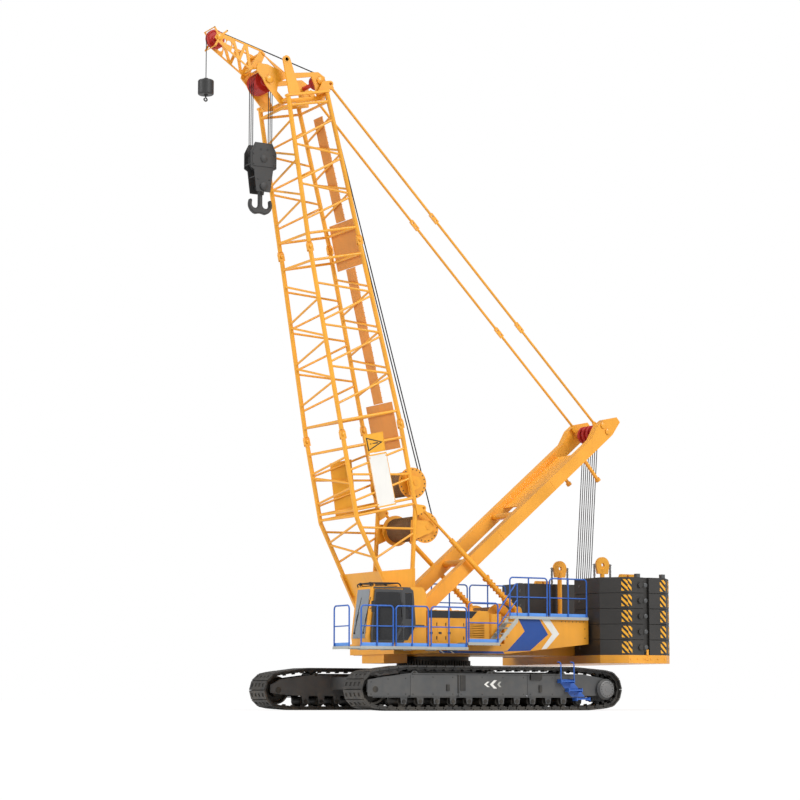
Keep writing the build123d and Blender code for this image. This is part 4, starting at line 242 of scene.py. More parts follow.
SKINS = {
    "boom_yellow": ["boom_base", "boom_insert", "boom_head", "head_lugs", "tip_jib", "stays", "backstop_tubes",
                    "backstop_rods", "backstop_springs", "counterweight_lifts"],
    "mast_orange": ["mast_beams", "mast_cross"],
    "body_yellow": ["upper_frame", "side_bodies", "houses", "cab_shell", "counterweight_tray", "hoist_drum_1",
                    "hoist_drum_2", "luff_winch"],
    "sheave_red": ["head_sheaves", "guide_sheaves", "tip_sheave", "mast_sheaves", "luff_block"],
    "rail_blue": ["railings", "access_steps"],
    "toe_blue": ["toe_boards"],
    "deck_grey": ["decks"],
    "weight_grey": ["counterweight_left", "counterweight_right"],
    "track_steel": ["track_left", "track_right", "rollers_left", "rollers_right"],
    "frame_grey": ["track_frame_left", "track_frame_right", "final_drive_left", "final_drive_right", "carbody"],
    "hook_grey": ["hook_block", "hook", "hook_ball", "ball_hook", "hook_sheaves"],
    "cab_dark": ["cab_door"],
    "glass": ["cab_glass"],
    "rope": ["luff_ropes_lower", "luff_ropes_upper", "hoist_falls", "aux_fall"],
    "sign_white": ["sign_white"],
    "sign_yellow": ["signs_yellow"],
    "ring_dark": ["slew_ring"],
    "seat_black": ["operator_seat"],
    "engine_grey": ["engine_block"],
    "walk_brown": ["boom_walkway"],
    "steel": ["lift_chains"],
}
for skin, members in SKINS.items():
    for member in members:
        nodes[member].data.materials.clear()
        nodes[member].data.materials.append(M[skin])


# Mesh kit

def circle(centre, u, v, radius, count):
    """Points all round a circle in the plane of two axes."""
    angles = [2 * pi * i / count for i in range(count)]
    return [Vector(centre) + (u * cos(angle) + v * sin(angle)) * radius for angle in angles]


class Kit:
    """Gathers closed forms into one mesh."""

    def __init__(self):
        self.points, self.faces = [], []

    def add(self, points, faces):
        base = len(self.points)
        self.points += [tuple(p) for p in points]
        self.faces += [[base + i for i in face] for face in faces]

    def block(self, low, high, at=None, axes=(X, Y, Z)):
        """Box between two corners, in a frame of three axes."""
        at = at or Vector((0, 0, 0))
        spans = [(min(a, b), max(a, b)) for a, b in zip(low, high)]
        corners = []
        for i in range(8):
            corner = at.copy()
            for k in range(3):
                corner = corner + axes[k] * spans[k][i >> k & 1]
            corners.append(corner)
        faces = [(0, 2, 3, 1), (4, 5, 7, 6), (0, 1, 5, 4), (2, 6, 7, 3), (0, 4, 6, 2), (1, 3, 7, 5)]
        if axes[0].cross(axes[1]).dot(axes[2]) < 0:
            faces = [tuple(reversed(face)) for face in faces]
        self.add(corners, faces)

    def plate(self, outline, depth):
        """Flat outline pushed along a vector."""
        low = [Vector(p) for p in outline]
        count = len(low)
        normal = Vector((0, 0, 0))
        for a, b in zip(low, low[1:] + low[:1]):
            normal += (a - low[0]).cross(b - low[0])
        if normal.dot(depth) < 0:
            low.reverse()
        high = [p + depth for p in low]
        faces = [tuple(reversed(range(count))), tuple(range(count, 2 * count))]
        for i in range(count):
            k = (i + 1) % count
            faces.append((i, k, k + count, i + count))
        self.add(low + high, faces)

    def on_side(self, points, y, depth):
        """Plate from an outline of (x, z) pairs on a side plane."""
        self.plate([Vector((px, y, pz)) for px, pz in points], Y * depth)

    def loft(self, rings):
        """Skin over rings of equal count, closed by flat ends."""
        count, last = len(rings[0]), len(rings) - 1
        faces = []
        for k in range(last):
            for i in range(count):
                j = (i + 1) % count
                faces.append((k * count + i, k * count + j, (k + 1) * count + j, (k + 1) * count + i))
        faces.append(tuple(reversed(range(count))))
        faces.append(tuple(range(last * count, (last + 1) * count)))
        self.add([p for ring in rings for p in ring], faces)

    def turned(self, at, axis, profile, count=20):
        """Form turned about an axis from (radius, distance) pairs."""
        axis = Vector(axis).normalized()
        side = axis.orthogonal().normalized()
        other = axis.cross(side)
        self.loft([circle(Vector(at) + axis * reach, side, other, radius, count) for radius, reach in profile])

    def cap(self, at, axis, radius, top, rise, height, count=20):
        """Low round cap: a straight wall, then drawn in to a smaller top."""
        self.turned(at, axis, [(radius, 0.0), (radius, rise), (top, height)], count)

    def rod(self, a, b, radius, count=12, edge=0.0):
        """Round bar with an optional bevelled rim."""
        a, b = Vector(a), Vector(b)
        length = (b - a).length
        profile = [(radius, 0.0), (radius, length)]
        if edge:
            profile = [(radius - edge, 0.0), (radius, edge), (radius, length - edge), (radius - edge, length)]
        self.turned(a, b - a, profile, count)

    def tube(self, path, radius, count=8):
        """Round bar along a row of points."""
        path = [Vector(p) for p in path]
        ways = []
        for i, p in enumerate(path):
            before = path[max(i - 1, 0)]
            after = path[min(i + 1, len(path) - 1)]
            ways.append((after - before).normalized())
        side = ways[0].orthogonal().normalized()
        rings = []
        for p, way in zip(path, ways):
            side = (side - way * side.dot(way)).normalized()
            rings.append(circle(p, side, way.cross(side), radius, count))
        self.loft(rings)

    def bolt(self, at, axis, radius, height):
        """Hexagon head with a bevelled top on a washer."""
        axis = Vector(axis).normalized()
        at = Vector(at)
        self.turned(at, axis, [(radius * 1.35, 0.0), (radius * 1.35, height * 0.25)], 12)
        head = [(radius, height * 0.25), (radius, height * 0.85), (radius * 0.8, height)]
        self.turned(at, axis, head, 6)

    def bolts(self, spots, axis, radius, height):
        for spot in spots:
            self.bolt(spot, axis, radius, height)

    def make(self, name, body, skin, slot=None, replaces=(), blend=None, sharp=40.0):
        """One piece of the scene. The slot argument is not used."""
        mesh = bpy.data.meshes.new(name)
        mesh.from_pydata(self.points, [], self.faces)
        mesh.update()
        mesh.polygons.foreach_set("use_smooth", [True] * len(mesh.polygons))
        mesh.set_sharp_from_angle(angle=radians(sharp))
        mesh.materials.append(M[skin])
        piece = bpy.data.objects.new(name, mesh)
        scene.collection.objects.link(piece)
        if blend:
            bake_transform(piece)
        else:
            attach(piece, body)
        if replaces:
            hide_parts(*replaces)
        return piece


def arc(centre, u, v, radius, start, end, count):
    """Points on a circle in the plane of two axes, angles in degrees."""
    points = []
    for i in range(count + 1):
        angle = radians(start + (end - start) * i / count)
        points.append(Vector(centre) + u * cos(angle) * radius + v * sin(angle) * radius)
    return points


def spread(count, low, high):
    return [low + (high - low) * i / (count - 1) for i in range(count)]


def chamfered(a, b, low, top, cut):
    """Rectangle with cut corners."""
    return [(a, low + cut), (a + cut, low), (b - cut, low), (b, low + cut),
            (b, top - cut), (b - cut, top), (a + cut, top), (a, top - cut)]


# Boom coordinates, as distance from the foot pin along and in front of the boom

TILT = radians(77.52)
FOOT = Vector((1.6, 0.0, 2.42))
ALONG = Vector((cos(TILT), 0, sin(TILT)))
FRONT = Vector((sin(TILT), 0, -cos(TILT)))
BOOM_AXES = (ALONG, FRONT, Y)


def boom(s, n, y=0.0):
    return FOOT + ALONG * s + FRONT * n + Y * y


# Tracks: shoes with pockets, links and guide lugs round the same path as the solids

SHOE_HALF, PAD, LINK, SHOE_GAP, SHOE_PITCH = 0.55, 0.048, 0.072, 0.034, 0.33
BEVEL, POCKET, PIN_RADIUS = 0.012, 0.028, 0.024
TRACK_Y = 3.147
# Wheels under the track as (x, z, radius), and its outer face runs round them
WHEELS = [(-3.45, 0.30, 0.30), (3.45, 0.30, 0.30), (4.19, 0.64, 0.59),
          (3.15, 1.16, 0.20), (-2.90, 1.16, 0.20), (-4.18, 0.66, 0.60)]


def track_path():
    leave = []
    for a, b in zip(WHEELS, WHEELS[1:] + WHEELS[:1]):
        gap = hypot(b[0] - a[0], b[1] - a[1])
        leave.append(atan2(b[1] - a[1], b[0] - a[0]) - acos((a[2] - b[2]) / gap))
    path = []
    for i, wheel in enumerate(WHEELS):
        sweep = (leave[i] - leave[i - 1]) % (2 * pi)
        path.append(("arc", wheel, leave[i - 1], sweep * wheel[2]))
        after = WHEELS[(i + 1) % len(WHEELS)]
        a = (wheel[0] + wheel[2] * cos(leave[i]), wheel[1] + wheel[2] * sin(leave[i]))
        b = (after[0] + after[2] * cos(leave[i]), after[1] + after[2] * sin(leave[i]))
        path.append(("line", a, b, hypot(b[0] - a[0], b[1] - a[1])))
    return path


PATH = track_path()
RUN = sum(piece[3] for piece in PATH)
SHOES = round(RUN / SHOE_PITCH)
PITCH = RUN / SHOES


def on_track(distance):
    left = distance % RUN
    for kind, a, b, length in PATH:
        if left <= length:
            if kind == "arc":
                angle = b + left / a[2]
                return Vector((a[0] + a[2] * cos(angle), 0, a[1] + a[2] * sin(angle)))
            share = left / length
            return Vector((a[0] + (b[0] - a[0]) * share, 0, a[1] + (b[1] - a[1]) * share))
        left -= length
    return on_track(0.0)


def shoe(kit, start, end, centre):
    """One shoe: bevelled pad with four pockets in its face, link bars and guide lugs inside."""
    way = (end - start).normalized()
    out = Vector((way.z, 0, -way.x))
    axes = (way, Y, out)
    at = (start + end) / 2 + Y * centre
    half = (end - start).length / 2
    us = [-half + BEVEL, -0.06, 0.06, half - BEVEL]
    vs = [-SHOE_HALF + BEVEL, -0.45, -0.32, -0.19, -0.06, 0.06, 0.19, 0.32, 0.45, SHOE_HALF - BEVEL]
    points, faces = [], []

    def put(u, v, w):
        points.append(at + way * u + Y * v + out * w)
        return len(points) - 1

    grid = [[put(u, v, 0.0) for v in vs] for u in us]
    for i in range(3):
        for j in range(9):
            ring = [grid[i][j], grid[i + 1][j], grid[i + 1][j + 1], grid[i][j + 1]]
            if i == 1 and j % 2:
                floor = [put(us[a] + da, vs[b] + db, -POCKET) for a, b, da, db in
                         ((1, j, 0.01, 0.01), (2, j, -0.01, 0.01), (2, j + 1, -0.01, -0.01), (1, j + 1, 0.01, -0.01))]
                for k in range(4):
                    m = (k + 1) % 4
                    faces.append((ring[k], ring[m], floor[m], floor[k]))
                faces.append(tuple(floor))
            else:
                faces.append(tuple(ring))
    loop = [(i, 0) for i in range(4)] + [(3, j) for j in range(1, 10)]
    loop += [(i, 9) for i in (2, 1, 0)] + [(0, j) for j in range(8, 0, -1)]
    rim, edge, low = [], [], []
    for i, j in loop:
        u = (-half, us[1], us[2], half)[i]
        v = -SHOE_HALF if j == 0 else SHOE_HALF if j == 9 else vs[j]
        rim.append(grid[i][j])
        edge.append(put(u, v, -BEVEL))
        low.append(put(u, v, -PAD))
    count = len(rim)
    for k in range(count):
        m = (k + 1) % count
        faces.append((rim[m], rim[k], edge[k], edge[m]))
        faces.append((edge[m], edge[k], low[k], low[m]))
    faces.append(tuple(low))
    kit.add(points, faces)
    for v0, v1 in ((-0.44, -0.37), (-0.24, -0.11), (0.11, 0.24), (0.37, 0.44)):
        kit.block((-half + BEVEL, v0, -PAD - LINK), (half - BEVEL, v1, -PAD), at, axes)
    for side in (-1, 1):
        kit.block((-0.055, side * 0.312, -PAD - LINK - 0.04), (0.055, side * 0.352, -PAD), at, axes)
    pin = at + way * (half + 0.004) - out * (PAD + 0.034)
    kit.rod(pin - Y * 0.46, pin + Y * 0.46, PIN_RADIUS, 8)


for label, side in (("left", 1), ("right", -1)):
    shoes = Kit()
    for i in range(SHOES):
        shoe(shoes, on_track(i * PITCH + SHOE_GAP / 2), on_track((i + 1) * PITCH - SHOE_GAP / 2), side * TRACK_Y)
    shoes.make("track_shoes_" + label, "undercarriage", "shoe_steel", "track_steel", ("track_" + label,))


# Track frames: cover panels, ledges, boxes, bolts, chevrons and drive hubs

FRAME_FACE = TRACK_Y + 0.40
PANEL, LEDGE, STUD = 0.012, 0.035, (0.016, 0.014)
PANEL_LOW, PANEL_TOP = 0.43, 1.085
PANELS = [(-3.12, -1.27), (-1.20, 1.26), (1.38, 2.97)]
NOSE = [(3.04, 0.45), (3.06, 0.43), (4.43, 0.43), (4.46, 0.46), (4.46, 0.90), (4.44, 0.925), (3.90, 1.02),
        (3.04, 1.065)]
NOSE_STUDS = [(3.14, 0.50), (3.14, 0.97), (3.75, 0.50), (3.75, 0.95), (4.34, 0.50), (4.34, 0.86)]
LEDGES = [(-3.42, 4.30, 0.398, 0.424), (-3.0, 2.9, 1.096, 1.122)]
# Boxes as x range, z range, and how far they start and end off the frame's face
BOXES = [(1.02, 1.20, 0.60, 1.07, 0.0, 0.03), (1.24, 1.29, 0.53, 1.08, 0.0, 0.02),
         (-1.78, -1.68, 0.56, 0.78, PANEL, 0.05), (-1.77, -1.35, 0.95, 1.13, PANEL, 0.075),
         (1.60, 1.70, 0.60, 0.79, PANEL, 0.05)]
CHEVRON_Z, FILM = 0.80, 0.003
DRIVE, DRIVE_OUT = (-4.18, 0.66), TRACK_Y + 0.545

covers, studs, marks_white, marks_grey, dark, hubs = (Kit() for _ in range(6))
for side in (1, -1):
    face, out = side * FRAME_FACE, Y * side
    spots = list(NOSE_STUDS)
    for a, b in PANELS:
        covers.on_side(chamfered(a, b, PANEL_LOW, PANEL_TOP, 0.02), face, side * PANEL)
        for px in spread(max(2, round((b - a) / 0.55)), a + 0.09, b - 0.09):
            spots += [(px, PANEL_LOW + 0.07), (px, PANEL_TOP - 0.07)]
    covers.on_side(NOSE, face, side * PANEL)
    studs.bolts([(px, face + side * PANEL, pz) for px, pz in spots], out, *STUD)
    for x0, x1, z0, z1 in LEDGES:
        covers.block((x0, face, z0), (x1, face + side * LEDGE, z1))
    dark.block((-2.75, side * (TRACK_Y - 0.26), 1.09), (2.95, side * (TRACK_Y + 0.26), 1.175))
    for x0, x1, z0, z1, near, far in BOXES:
        dark.block((x0, face + side * near, z0), (x1, face + side * far, z1))
    for kit, tip, height, width, thick in ((marks_white, 0.34, 0.165, 0.20, 0.085),
                                           (marks_white, 0.13, 0.255, 0.26, 0.115),
                                           (marks_grey, -0.14, 0.165, 0.15, 0.075)):
        top, low, tail = CHEVRON_Z + height / 2, CHEVRON_Z - height / 2, tip - width
        kit.on_side([(tip, CHEVRON_Z), (tail + thick, top), (tail, top), (tip - thick, CHEVRON_Z), (tail, low),
                     (tail + thick, low)], face + side * PANEL, side * FILM)
    hub = Vector((DRIVE[0], side * DRIVE_OUT, DRIVE[1]))
    studs.bolts(circle(hub + out * 0.02, X, Z, 0.215, 16), out, 0.014, 0.014)
    hubs.turned(hub, out, [(0.265, 0.0), (0.265, 0.012), (0.25, 0.02), (0.08, 0.02), (0.07, 0.03)], 32)
covers.make("track_frame_covers", "undercarriage", "frame_grey")
studs.make("track_frame_bolts", "undercarriage", "hook_grey")
dark.make("track_frame_boxes", "undercarriage", "black", "ring_dark")
hubs.make("drive_hubs", "undercarriage", "hub_grey", "frame_grey")
marks_white.make("frame_marks_white", "undercarriage", "fascia_white", "sign_white")
marks_grey.make("frame_marks_grey", "undercarriage", "deck_grey")

# Carbody and track steps

CARBODY_TOP = 1.06
carriage = Kit()
carriage.bolts(circle((0, 0, 1.40), X, Y, 1.226, 44), Z, 0.017, 0.026)
for sx in (1, -1):
    for sy in (1, -1):
        carriage.bolts([(sx * px, sy * 2.6, CARBODY_TOP) for px in (1.45, 1.75, 2.05)], Z, 0.03, 0.035)
        carriage.block((sx * 1.5, sy * 1.62, CARBODY_TOP), (sx * 1.62, sy * 2.5, CARBODY_TOP + 0.045))
carriage.make("carbody_bolts", "undercarriage", "frame_grey")

steps = Kit()
for side in (1, -1):
    inner, outer = side * (TRACK_Y + 0.44), side * (TRACK_Y + 0.635)
    for middle, level in ((-3.22, 0.33), (-2.93, 0.61), (-2.64, 0.89)):
        for px in spread(9, middle - 0.22, middle + 0.22):
            steps.block((px - 0.008, inner, level + 0.036), (px + 0.008, outer, level + 0.048))
    rail = side * (TRACK_Y + 0.60)
    for px in (-2.888, -2.392):
        bow = arc((px, rail - side * 0.10, 1.40), Y * side, Z, 0.10, 0, 90, 6)
        steps.tube([(px, rail, 1.30), (px, rail, 1.40)] + bow + [(px, rail - side * 0.18, 1.50)], 0.02)
steps.make("step_treads", "undercarriage", "rail_blue")

# Ropes: falls down to the hooks, hoist ropes behind the boom, wound drums and the luffing run

ROPE, HOIST_ROPE, LUFF_ROPE = 0.014, 0.020, 0.015
SIT = -0.011
# Wheels as distance along and in front of the boom, and the radius on which the rope lies
MAIN = (18.0, 0.92, 0.35 + SIT)
GUIDE = (17.8, -0.91, 0.24 + SIT)
TIP = (19.52, 2.256, 0.31 + SIT)
DRUMS = ((4.59, -1.30), (3.13, -1.44))
DRUM_ROPE = 0.398
PIN = boom(*MAIN[:2])
TIP_PIN = boom(*TIP[:2])
BLOCK_Z, BALL_Z = 17.28, 19.685
BALL_X = TIP_PIN.x + TIP[2]
FALLS_Y = (-0.124, 0.0, 0.124)


def touch(a, b, side):
    """Angle at which a straight rope leaves one round and meets the next, and both points."""
    reach = hypot(b[0] - a[0], b[1] - a[1])
    angle = atan2(b[1] - a[1], b[0] - a[0]) + side * acos((a[2] - b[2]) / reach)
    return angle, [(c[0] + c[2] * cos(angle), c[1] + c[2] * sin(angle)) for c in (a, b)]


def round_wheel(wheel, start, end, y, count=14):
    points = []
    for angle in spread(count + 1, start, end):
        points.append(boom(wheel[0] + wheel[2] * cos(angle), wheel[1] + wheel[2] * sin(angle), y))
    return points


falls = Kit()
for y in FALLS_Y:
    for side in (1, -1):
        falls.tube([(PIN.x + side * MAIN[2], y, z) for z in spread(9, PIN.z, BLOCK_Z)], ROPE, 10)
falls.make("hoist_fall_ropes", None, "rope", "rope", ("hoist_falls",),
           ("falls", "main_hook", (PIN.x, 0, PIN.z), (PIN.x, 0, BLOCK_Z)))
for name, body, z, start in (("falls_over_wheels", "falls", PIN.z, 0),
                             ("falls_under_wheels", "main_hook", BLOCK_Z, 180)):
    kit = Kit()
    for y in FALLS_Y:
        kit.tube(arc((PIN.x, y, z), X, Z, MAIN[2], start, start + 180, 20), ROPE)
    kit.make(name, body, "rope")
single = Kit()
single.tube([(BALL_X, 0, z) for z in spread(7, TIP_PIN.z, BALL_Z)], ROPE, 10)
single.make("tip_fall_rope", None, "rope", "rope", ("aux_fall",),
            ("tip_fall", "ball", (BALL_X, 0, TIP_PIN.z), (BALL_X, 0, BALL_Z)))
bend = Kit()
bend.tube(arc(TIP_PIN, X, Z, TIP[2], 0, 118, 16), ROPE)
bend.make("tip_fall_bend", "tip_fall", "rope")

hoist = Kit()
for drum, drum_y, guide_y, last, last_y in ((DRUMS[0], 0.77, 0.30, MAIN, 0.248), (DRUMS[1], 0.86, 0.45, TIP, 0.0)):
    down, (leave, meet) = touch((*drum, DRUM_ROPE), GUIDE, -1)
    up, _ = touch(GUIDE, last, -1)
    start = boom(*leave, drum_y)
    run = [start + (boom(*meet, guide_y) - start) * share for share in spread(12, 0, 1)]
    run += round_wheel(GUIDE, down, up, guide_y)[1:]
    run += round_wheel(last, up, TILT, last_y)[:15 if last == MAIN else 1]
    hoist.tube(run, HOIST_ROPE)
hoist.make("hoist_ropes", "boom", "hoist_rope", "rope")


def wound(name, body, centre, radius, half, turns):
    """Rope laid turn by turn on a drum."""
    kit = Kit()
    count = 22
    path = []
    for i, y in enumerate(spread(turns * count + 1, -half, half)):
        angle = 2 * pi * i / count
        path.append(Vector(centre) + X * cos(angle) * radius + Z * sin(angle) * radius + Y * y)
    kit.tube(path, ROPE, 5)
    kit.make(name, body, "drum_rope", "rope", sharp=80.0)


for i, drum in enumerate(DRUMS, 1):
    wound(f"drum_rope_{i}", f"drum_{i}", boom(*drum), DRUM_ROPE - ROPE, 0.86, 58)
wound("luffing_rope", "upper", (-2.05, 0, 2.95), 0.374, 0.65, 44)

LEAD_Y = -0.36
lead = Kit()
lead.rod((-2.05, LEAD_Y, 3.325), (-5.75, LEAD_Y, 3.055), LUFF_ROPE, 8)
lead.rod((-5.66, LEAD_Y, 3.0616), (-5.80, LEAD_Y, 3.0514), 0.026, 10, 0.004)
lead.make("luffing_lead", "upper", "rope")

# Ends that lengthen both sets of luffing ropes, so that they still meet with the boom low
LUFF_BLOCK, MAST_TOP = Vector((-5.8, 0, 2.78)), Vector((-6.27, 0, 9.28))
LUFF_WAY = (MAST_TOP - LUFF_BLOCK).normalized()
LUFF_ENDS, LUFF_SPACING = (6.05, 6.22), 0.24
for name, body, at, way, first in (("luff_ends_low", "ropes_low", LUFF_BLOCK, LUFF_WAY, -0.42),
                                   ("luff_ends_high", "ropes_high", MAST_TOP, -LUFF_WAY, -0.30)):
    ends = Kit()
    for i in range(4):
        near, far = (at + Y * (first + LUFF_SPACING * i) + way * reach for reach in LUFF_ENDS)
        ends.rod(near, far, LUFF_ROPE, 8)
    ends.make(name, body, "rope")

# Side graphics: blue arrow and stripe, white chevron and slashes, black band on the houses

HOUSE_Y = 2.35
ARROW = [(-1.729, 2.884), (-1.968, 2.486), (-1.31, 1.872), (-1.141, 1.845), (-2.165, 1.876), (-2.862, 2.398),
         (-2.53, 2.884)]
STRIPE = [(-1.141, 1.845), (1.24, 1.845), (1.20, 1.772), (-1.20, 1.772)]
WHITE = [(-2.62, 2.884), (-2.93, 2.884), (-3.292, 2.425), (-2.80, 1.946), (-2.60, 1.925), (-3.02, 2.41)]
BAND = [(1.63, 3.085), (-0.20, 3.085), (0.03, 2.865), (1.63, 2.855)]
fascia, chevron, band = Kit(), Kit(), Kit()
for side in (1, -1):
    face = side * HOUSE_Y
    for kit, outline in ((fascia, ARROW), (fascia, STRIPE), (chevron, WHITE), (band, BAND)):
        kit.on_side(outline, face, side * FILM)
    for px in (1.16, 0.80):
        slash = [(px + 0.07, 1.862), (px, 1.862), (px - 0.15, 1.765), (px - 0.08, 1.765)]
        chevron.on_side(slash, face + side * FILM, side * 0.002)
fascia.make("side_fascia", "upper", "fascia_blue", "rail_blue")
chevron.make("side_chevrons", "upper", "fascia_white", "sign_white")
band.make("house_band", "upper", "black", "ring_dark")

# Houses: doors, hinges, latches, roof seams, lifting eyes, bolts, radiator grille and exhaust

DOOR_SKIN, ROOF_Z = 0.008, 3.10
GRILLE_X, GRILLE_Z, GRILLE_OUT = (-0.55, 0.30), (2.20, 2.76), 0.022
EXHAUST = (0.15, -1.9)
doors, fittings, grille = Kit(), Kit(), Kit()
for side in (1, -1):
    face, out = side * HOUSE_Y, Y * side
    for a, b in ((0.31, 0.94), (0.97, 1.27), (1.30, 1.59)):
        doors.on_side(chamfered(a, b, 2.12, 2.78, 0.03), face, side * DOOR_SKIN)
        hinge = Vector((a + 0.012, face + side * 0.014, 0))
        for pz in (2.24, 2.66):
            fittings.rod(hinge + Z * (pz - 0.05), hinge + Z * (pz + 0.05), 0.014, 10)
        fittings.block((b - 0.13, face + side * DOOR_SKIN, 2.36), (b - 0.03, face + side * 0.022, 2.42))
        fittings.block((b - 0.11, face + side * 0.022, 2.38), (b - 0.05, face + side * 0.036, 2.40))
    for px in (-0.30, 0.50, 1.30):
        doors.block((px - 0.02, side * 1.42, ROOF_Z), (px + 0.02, side * 2.33, ROOF_Z + 0.012))
        eye = [Vector((px - 0.08, side * 1.8, ROOF_Z)), Vector((px + 0.08, side * 1.8, ROOF_Z))]
        eye += arc((px, side * 1.8, ROOF_Z + 0.09), X, Z, 0.05, 0, 180, 8)
        doors.plate(eye, out * 0.03)
    fittings.bolts([(px, face, 2.03) for px in spread(9, -1.05, 1.5)], out, 0.014, 0.012)
    fittings.bolts([(px, face, 2.82) for px in spread(7, -4.25, -3.4)], out, 0.012, 0.010)
    fittings.bolts([(px, face, pz) for px in (-4.30, -1.30) for pz in (2.30, 2.60)], out, 0.014, 0.012)
for pz in spread(15, 2.24, 2.72):
    grille.block((-0.52, -HOUSE_Y, pz - 0.006), (0.27, -HOUSE_Y - 0.016, pz + 0.012))
for x0, x1 in ((GRILLE_X[0], -0.515), (0.265, GRILLE_X[1])):
    grille.block((x0, -HOUSE_Y, 2.205), (x1, -HOUSE_Y - GRILLE_OUT, 2.755))
for z0, z1 in ((GRILLE_Z[0], 2.225), (2.735, GRILLE_Z[1])):
    grille.block((GRILLE_X[0], -HOUSE_Y, z0), (GRILLE_X[1], -HOUSE_Y - GRILLE_OUT, z1))
pipe = [(*EXHAUST, 3.09), (*EXHAUST, 3.42)] + arc((0.05, EXHAUST[1], 3.42), X, Z, 0.10, 0, 70, 6)
grille.tube(pipe + [(-0.05, EXHAUST[1], 3.56)], 0.065, 16)
grille.cap((*EXHAUST, ROOF_Z), Z, 0.105, 0.09, 0.24, 0.26)
doors.make("house_doors", "upper", "body_yellow")
fittings.make("house_fittings", "upper", "hook_grey")
grille.make("grille_and_exhaust", "upper", "black", "ring_dark")

# Cab: side cover, panes, door, roof guard, wipers, lamps, mirror and controls

CAB_SIDE, DOOR_FACE = 2.38, 2.444
CAB_FLOOR = 1.985
cover = Kit()
for outline in ([(2.53, 3.74), (2.30, 3.74), (2.19, 3.69), (2.17, 3.60), (2.53, 3.60)],
                [(2.17, 3.60), (2.23, 3.60), (2.19, 2.80), (2.105, 2.80)],
                [(2.097, 2.58), (2.38, 2.15), (2.53, 2.15), (2.53, 2.80), (2.105, 2.80)],
                [(2.45, 2.80), (2.535, 2.80), (2.535, 3.60), (2.47, 3.60)]):
    cover.on_side(outline, CAB_SIDE, 0.022)
cover.make("cab_side_cover", "upper", "cab_dark")
panes = Kit()
panes.on_side([(2.23, 3.595), (2.475, 3.595), (2.455, 2.795), (2.19, 2.795)], CAB_SIDE + 0.01, 0.0125)
panes.on_side([(2.46, 2.57), (2.135, 2.57), (2.40, 2.165), (2.525, 2.165), (2.525, 2.46)], CAB_SIDE + 0.022, 0.0015)
panes.make("cab_side_panes", "upper", "pane_dark", "glass")
strip = Kit()
strip.block((1.78, CAB_SIDE + 0.01, 2.573), (2.545, CAB_SIDE + 0.02415, 2.627))
strip.on_side([(2.27, 3.742), (3.60, 3.722), (3.58, 3.772), (2.29, 3.776)], CAB_SIDE, 0.02)
strip.make("door_rail_cover", "upper", "cab_dark")

DOOR_PANE = [(3.53, 3.60), (2.69, 3.60), (2.585, 2.78), (2.87, 2.15), (3.64, 2.15), (3.65, 2.35), (3.60, 2.80)]
door, bars = Kit(), Kit()
for outline in (DOOR_PANE, [(2.565, 2.58), (2.79, 2.15), (2.565, 2.15)]):
    door.on_side(outline, DOOR_FACE, 0.004)
door.make("door_panes", "door", "pane_dark", "glass")
bars.tube([(2.60, DOOR_FACE, 2.86), (2.60, 2.50, 2.86), (2.60, 2.50, 3.30), (2.60, DOOR_FACE, 3.30)], 0.014)
corners = ((2.58, 3.66), (3.50, 3.66), (2.58, 2.11), (3.64, 2.11))
bars.bolts([(px, DOOR_FACE, pz) for px, pz in corners], Y, 0.014, 0.010)
bars.make("door_bars", "door", "cab_dark")


def front_x(z):
    """Place of the cab's leaning front."""
    return 3.83 - 0.19 * (z - 2.25) / 1.54


front, trim, lens, gear = Kit(), Kit(), Kit(), Kit()
sheet = [(1.52, 2.20), (2.28, 2.20), (2.28, 3.70), (1.52, 3.70)]
front.plate([Vector((front_x(z) + 0.002, y, z)) for y, z in sheet], X * 0.006)
front.make("cab_front_pane", "upper", "front_glass", "glass")
for y in (1.50, 2.32):
    guard = [(3.64, 3.78), (3.66, 3.85), (3.60, 3.885), (2.70, 3.90), (2.62, 3.87), (2.58, 3.78)]
    trim.tube([(px, y, pz) for px, pz in guard], 0.022, 10)
for px, pz in ((3.60, 3.885), (2.70, 3.90)):
    trim.rod((px, 1.50, pz), (px, 2.32, pz), 0.022, 10)
for y in (1.62, 2.18):
    trim.rod((front_x(2.36) + 0.03, y, 2.36), (front_x(3.0) + 0.02, y + 0.12, 3.0), 0.010, 8)
    trim.rod((front_x(2.75) + 0.012, y + 0.02, 2.72), (front_x(3.45) + 0.008, y + 0.20, 3.45), 0.012, 8)
    trim.cap((front_x(2.36), y, 2.36), X, 0.03, 0.02, 0.03, 0.04, 14)
for y in (1.60, 2.20):
    at = Vector((3.60, y, 3.87))
    trim.turned(at - X * 0.05, X, [(0.025, 0.0), (0.045, 0.02), (0.052, 0.07), (0.048, 0.08)], 18)
    trim.rod(at - Z * 0.08, at, 0.012, 8)
    lens.turned(at + X * 0.031, X, [(0.044, 0.0), (0.040, 0.008), (0.02, 0.012)], 18)
for y in spread(7, 1.56, 2.24):
    trim.rod((2.66, y, 3.815), (3.52, y, 3.815), 0.009, 6)
for px in (2.70, 3.48):
    trim.rod((px, 1.52, 3.806), (px, 2.28, 3.806), 0.012, 6)
MIRROR_X = 3.76
trim.tube([(3.70, 2.38, 3.10), (3.74, 2.56, 3.12), (MIRROR_X, 2.66, 3.14)], 0.012)
trim.plate([Vector((MIRROR_X, py, pz)) for py, pz in chamfered(2.60, 2.82, 2.98, 3.32, 0.02)], X * 0.03)
trim.make("cab_trim", "upper", "black", "ring_dark")
lens.make("cab_lamps", "upper", "glass")
gear.block((3.36, 1.55, CAB_FLOOR), (3.52, 2.25, CAB_FLOOR + 0.72))
gear.block((3.30, 1.60, CAB_FLOOR + 0.70), (3.50, 2.20, CAB_FLOOR + 0.80))
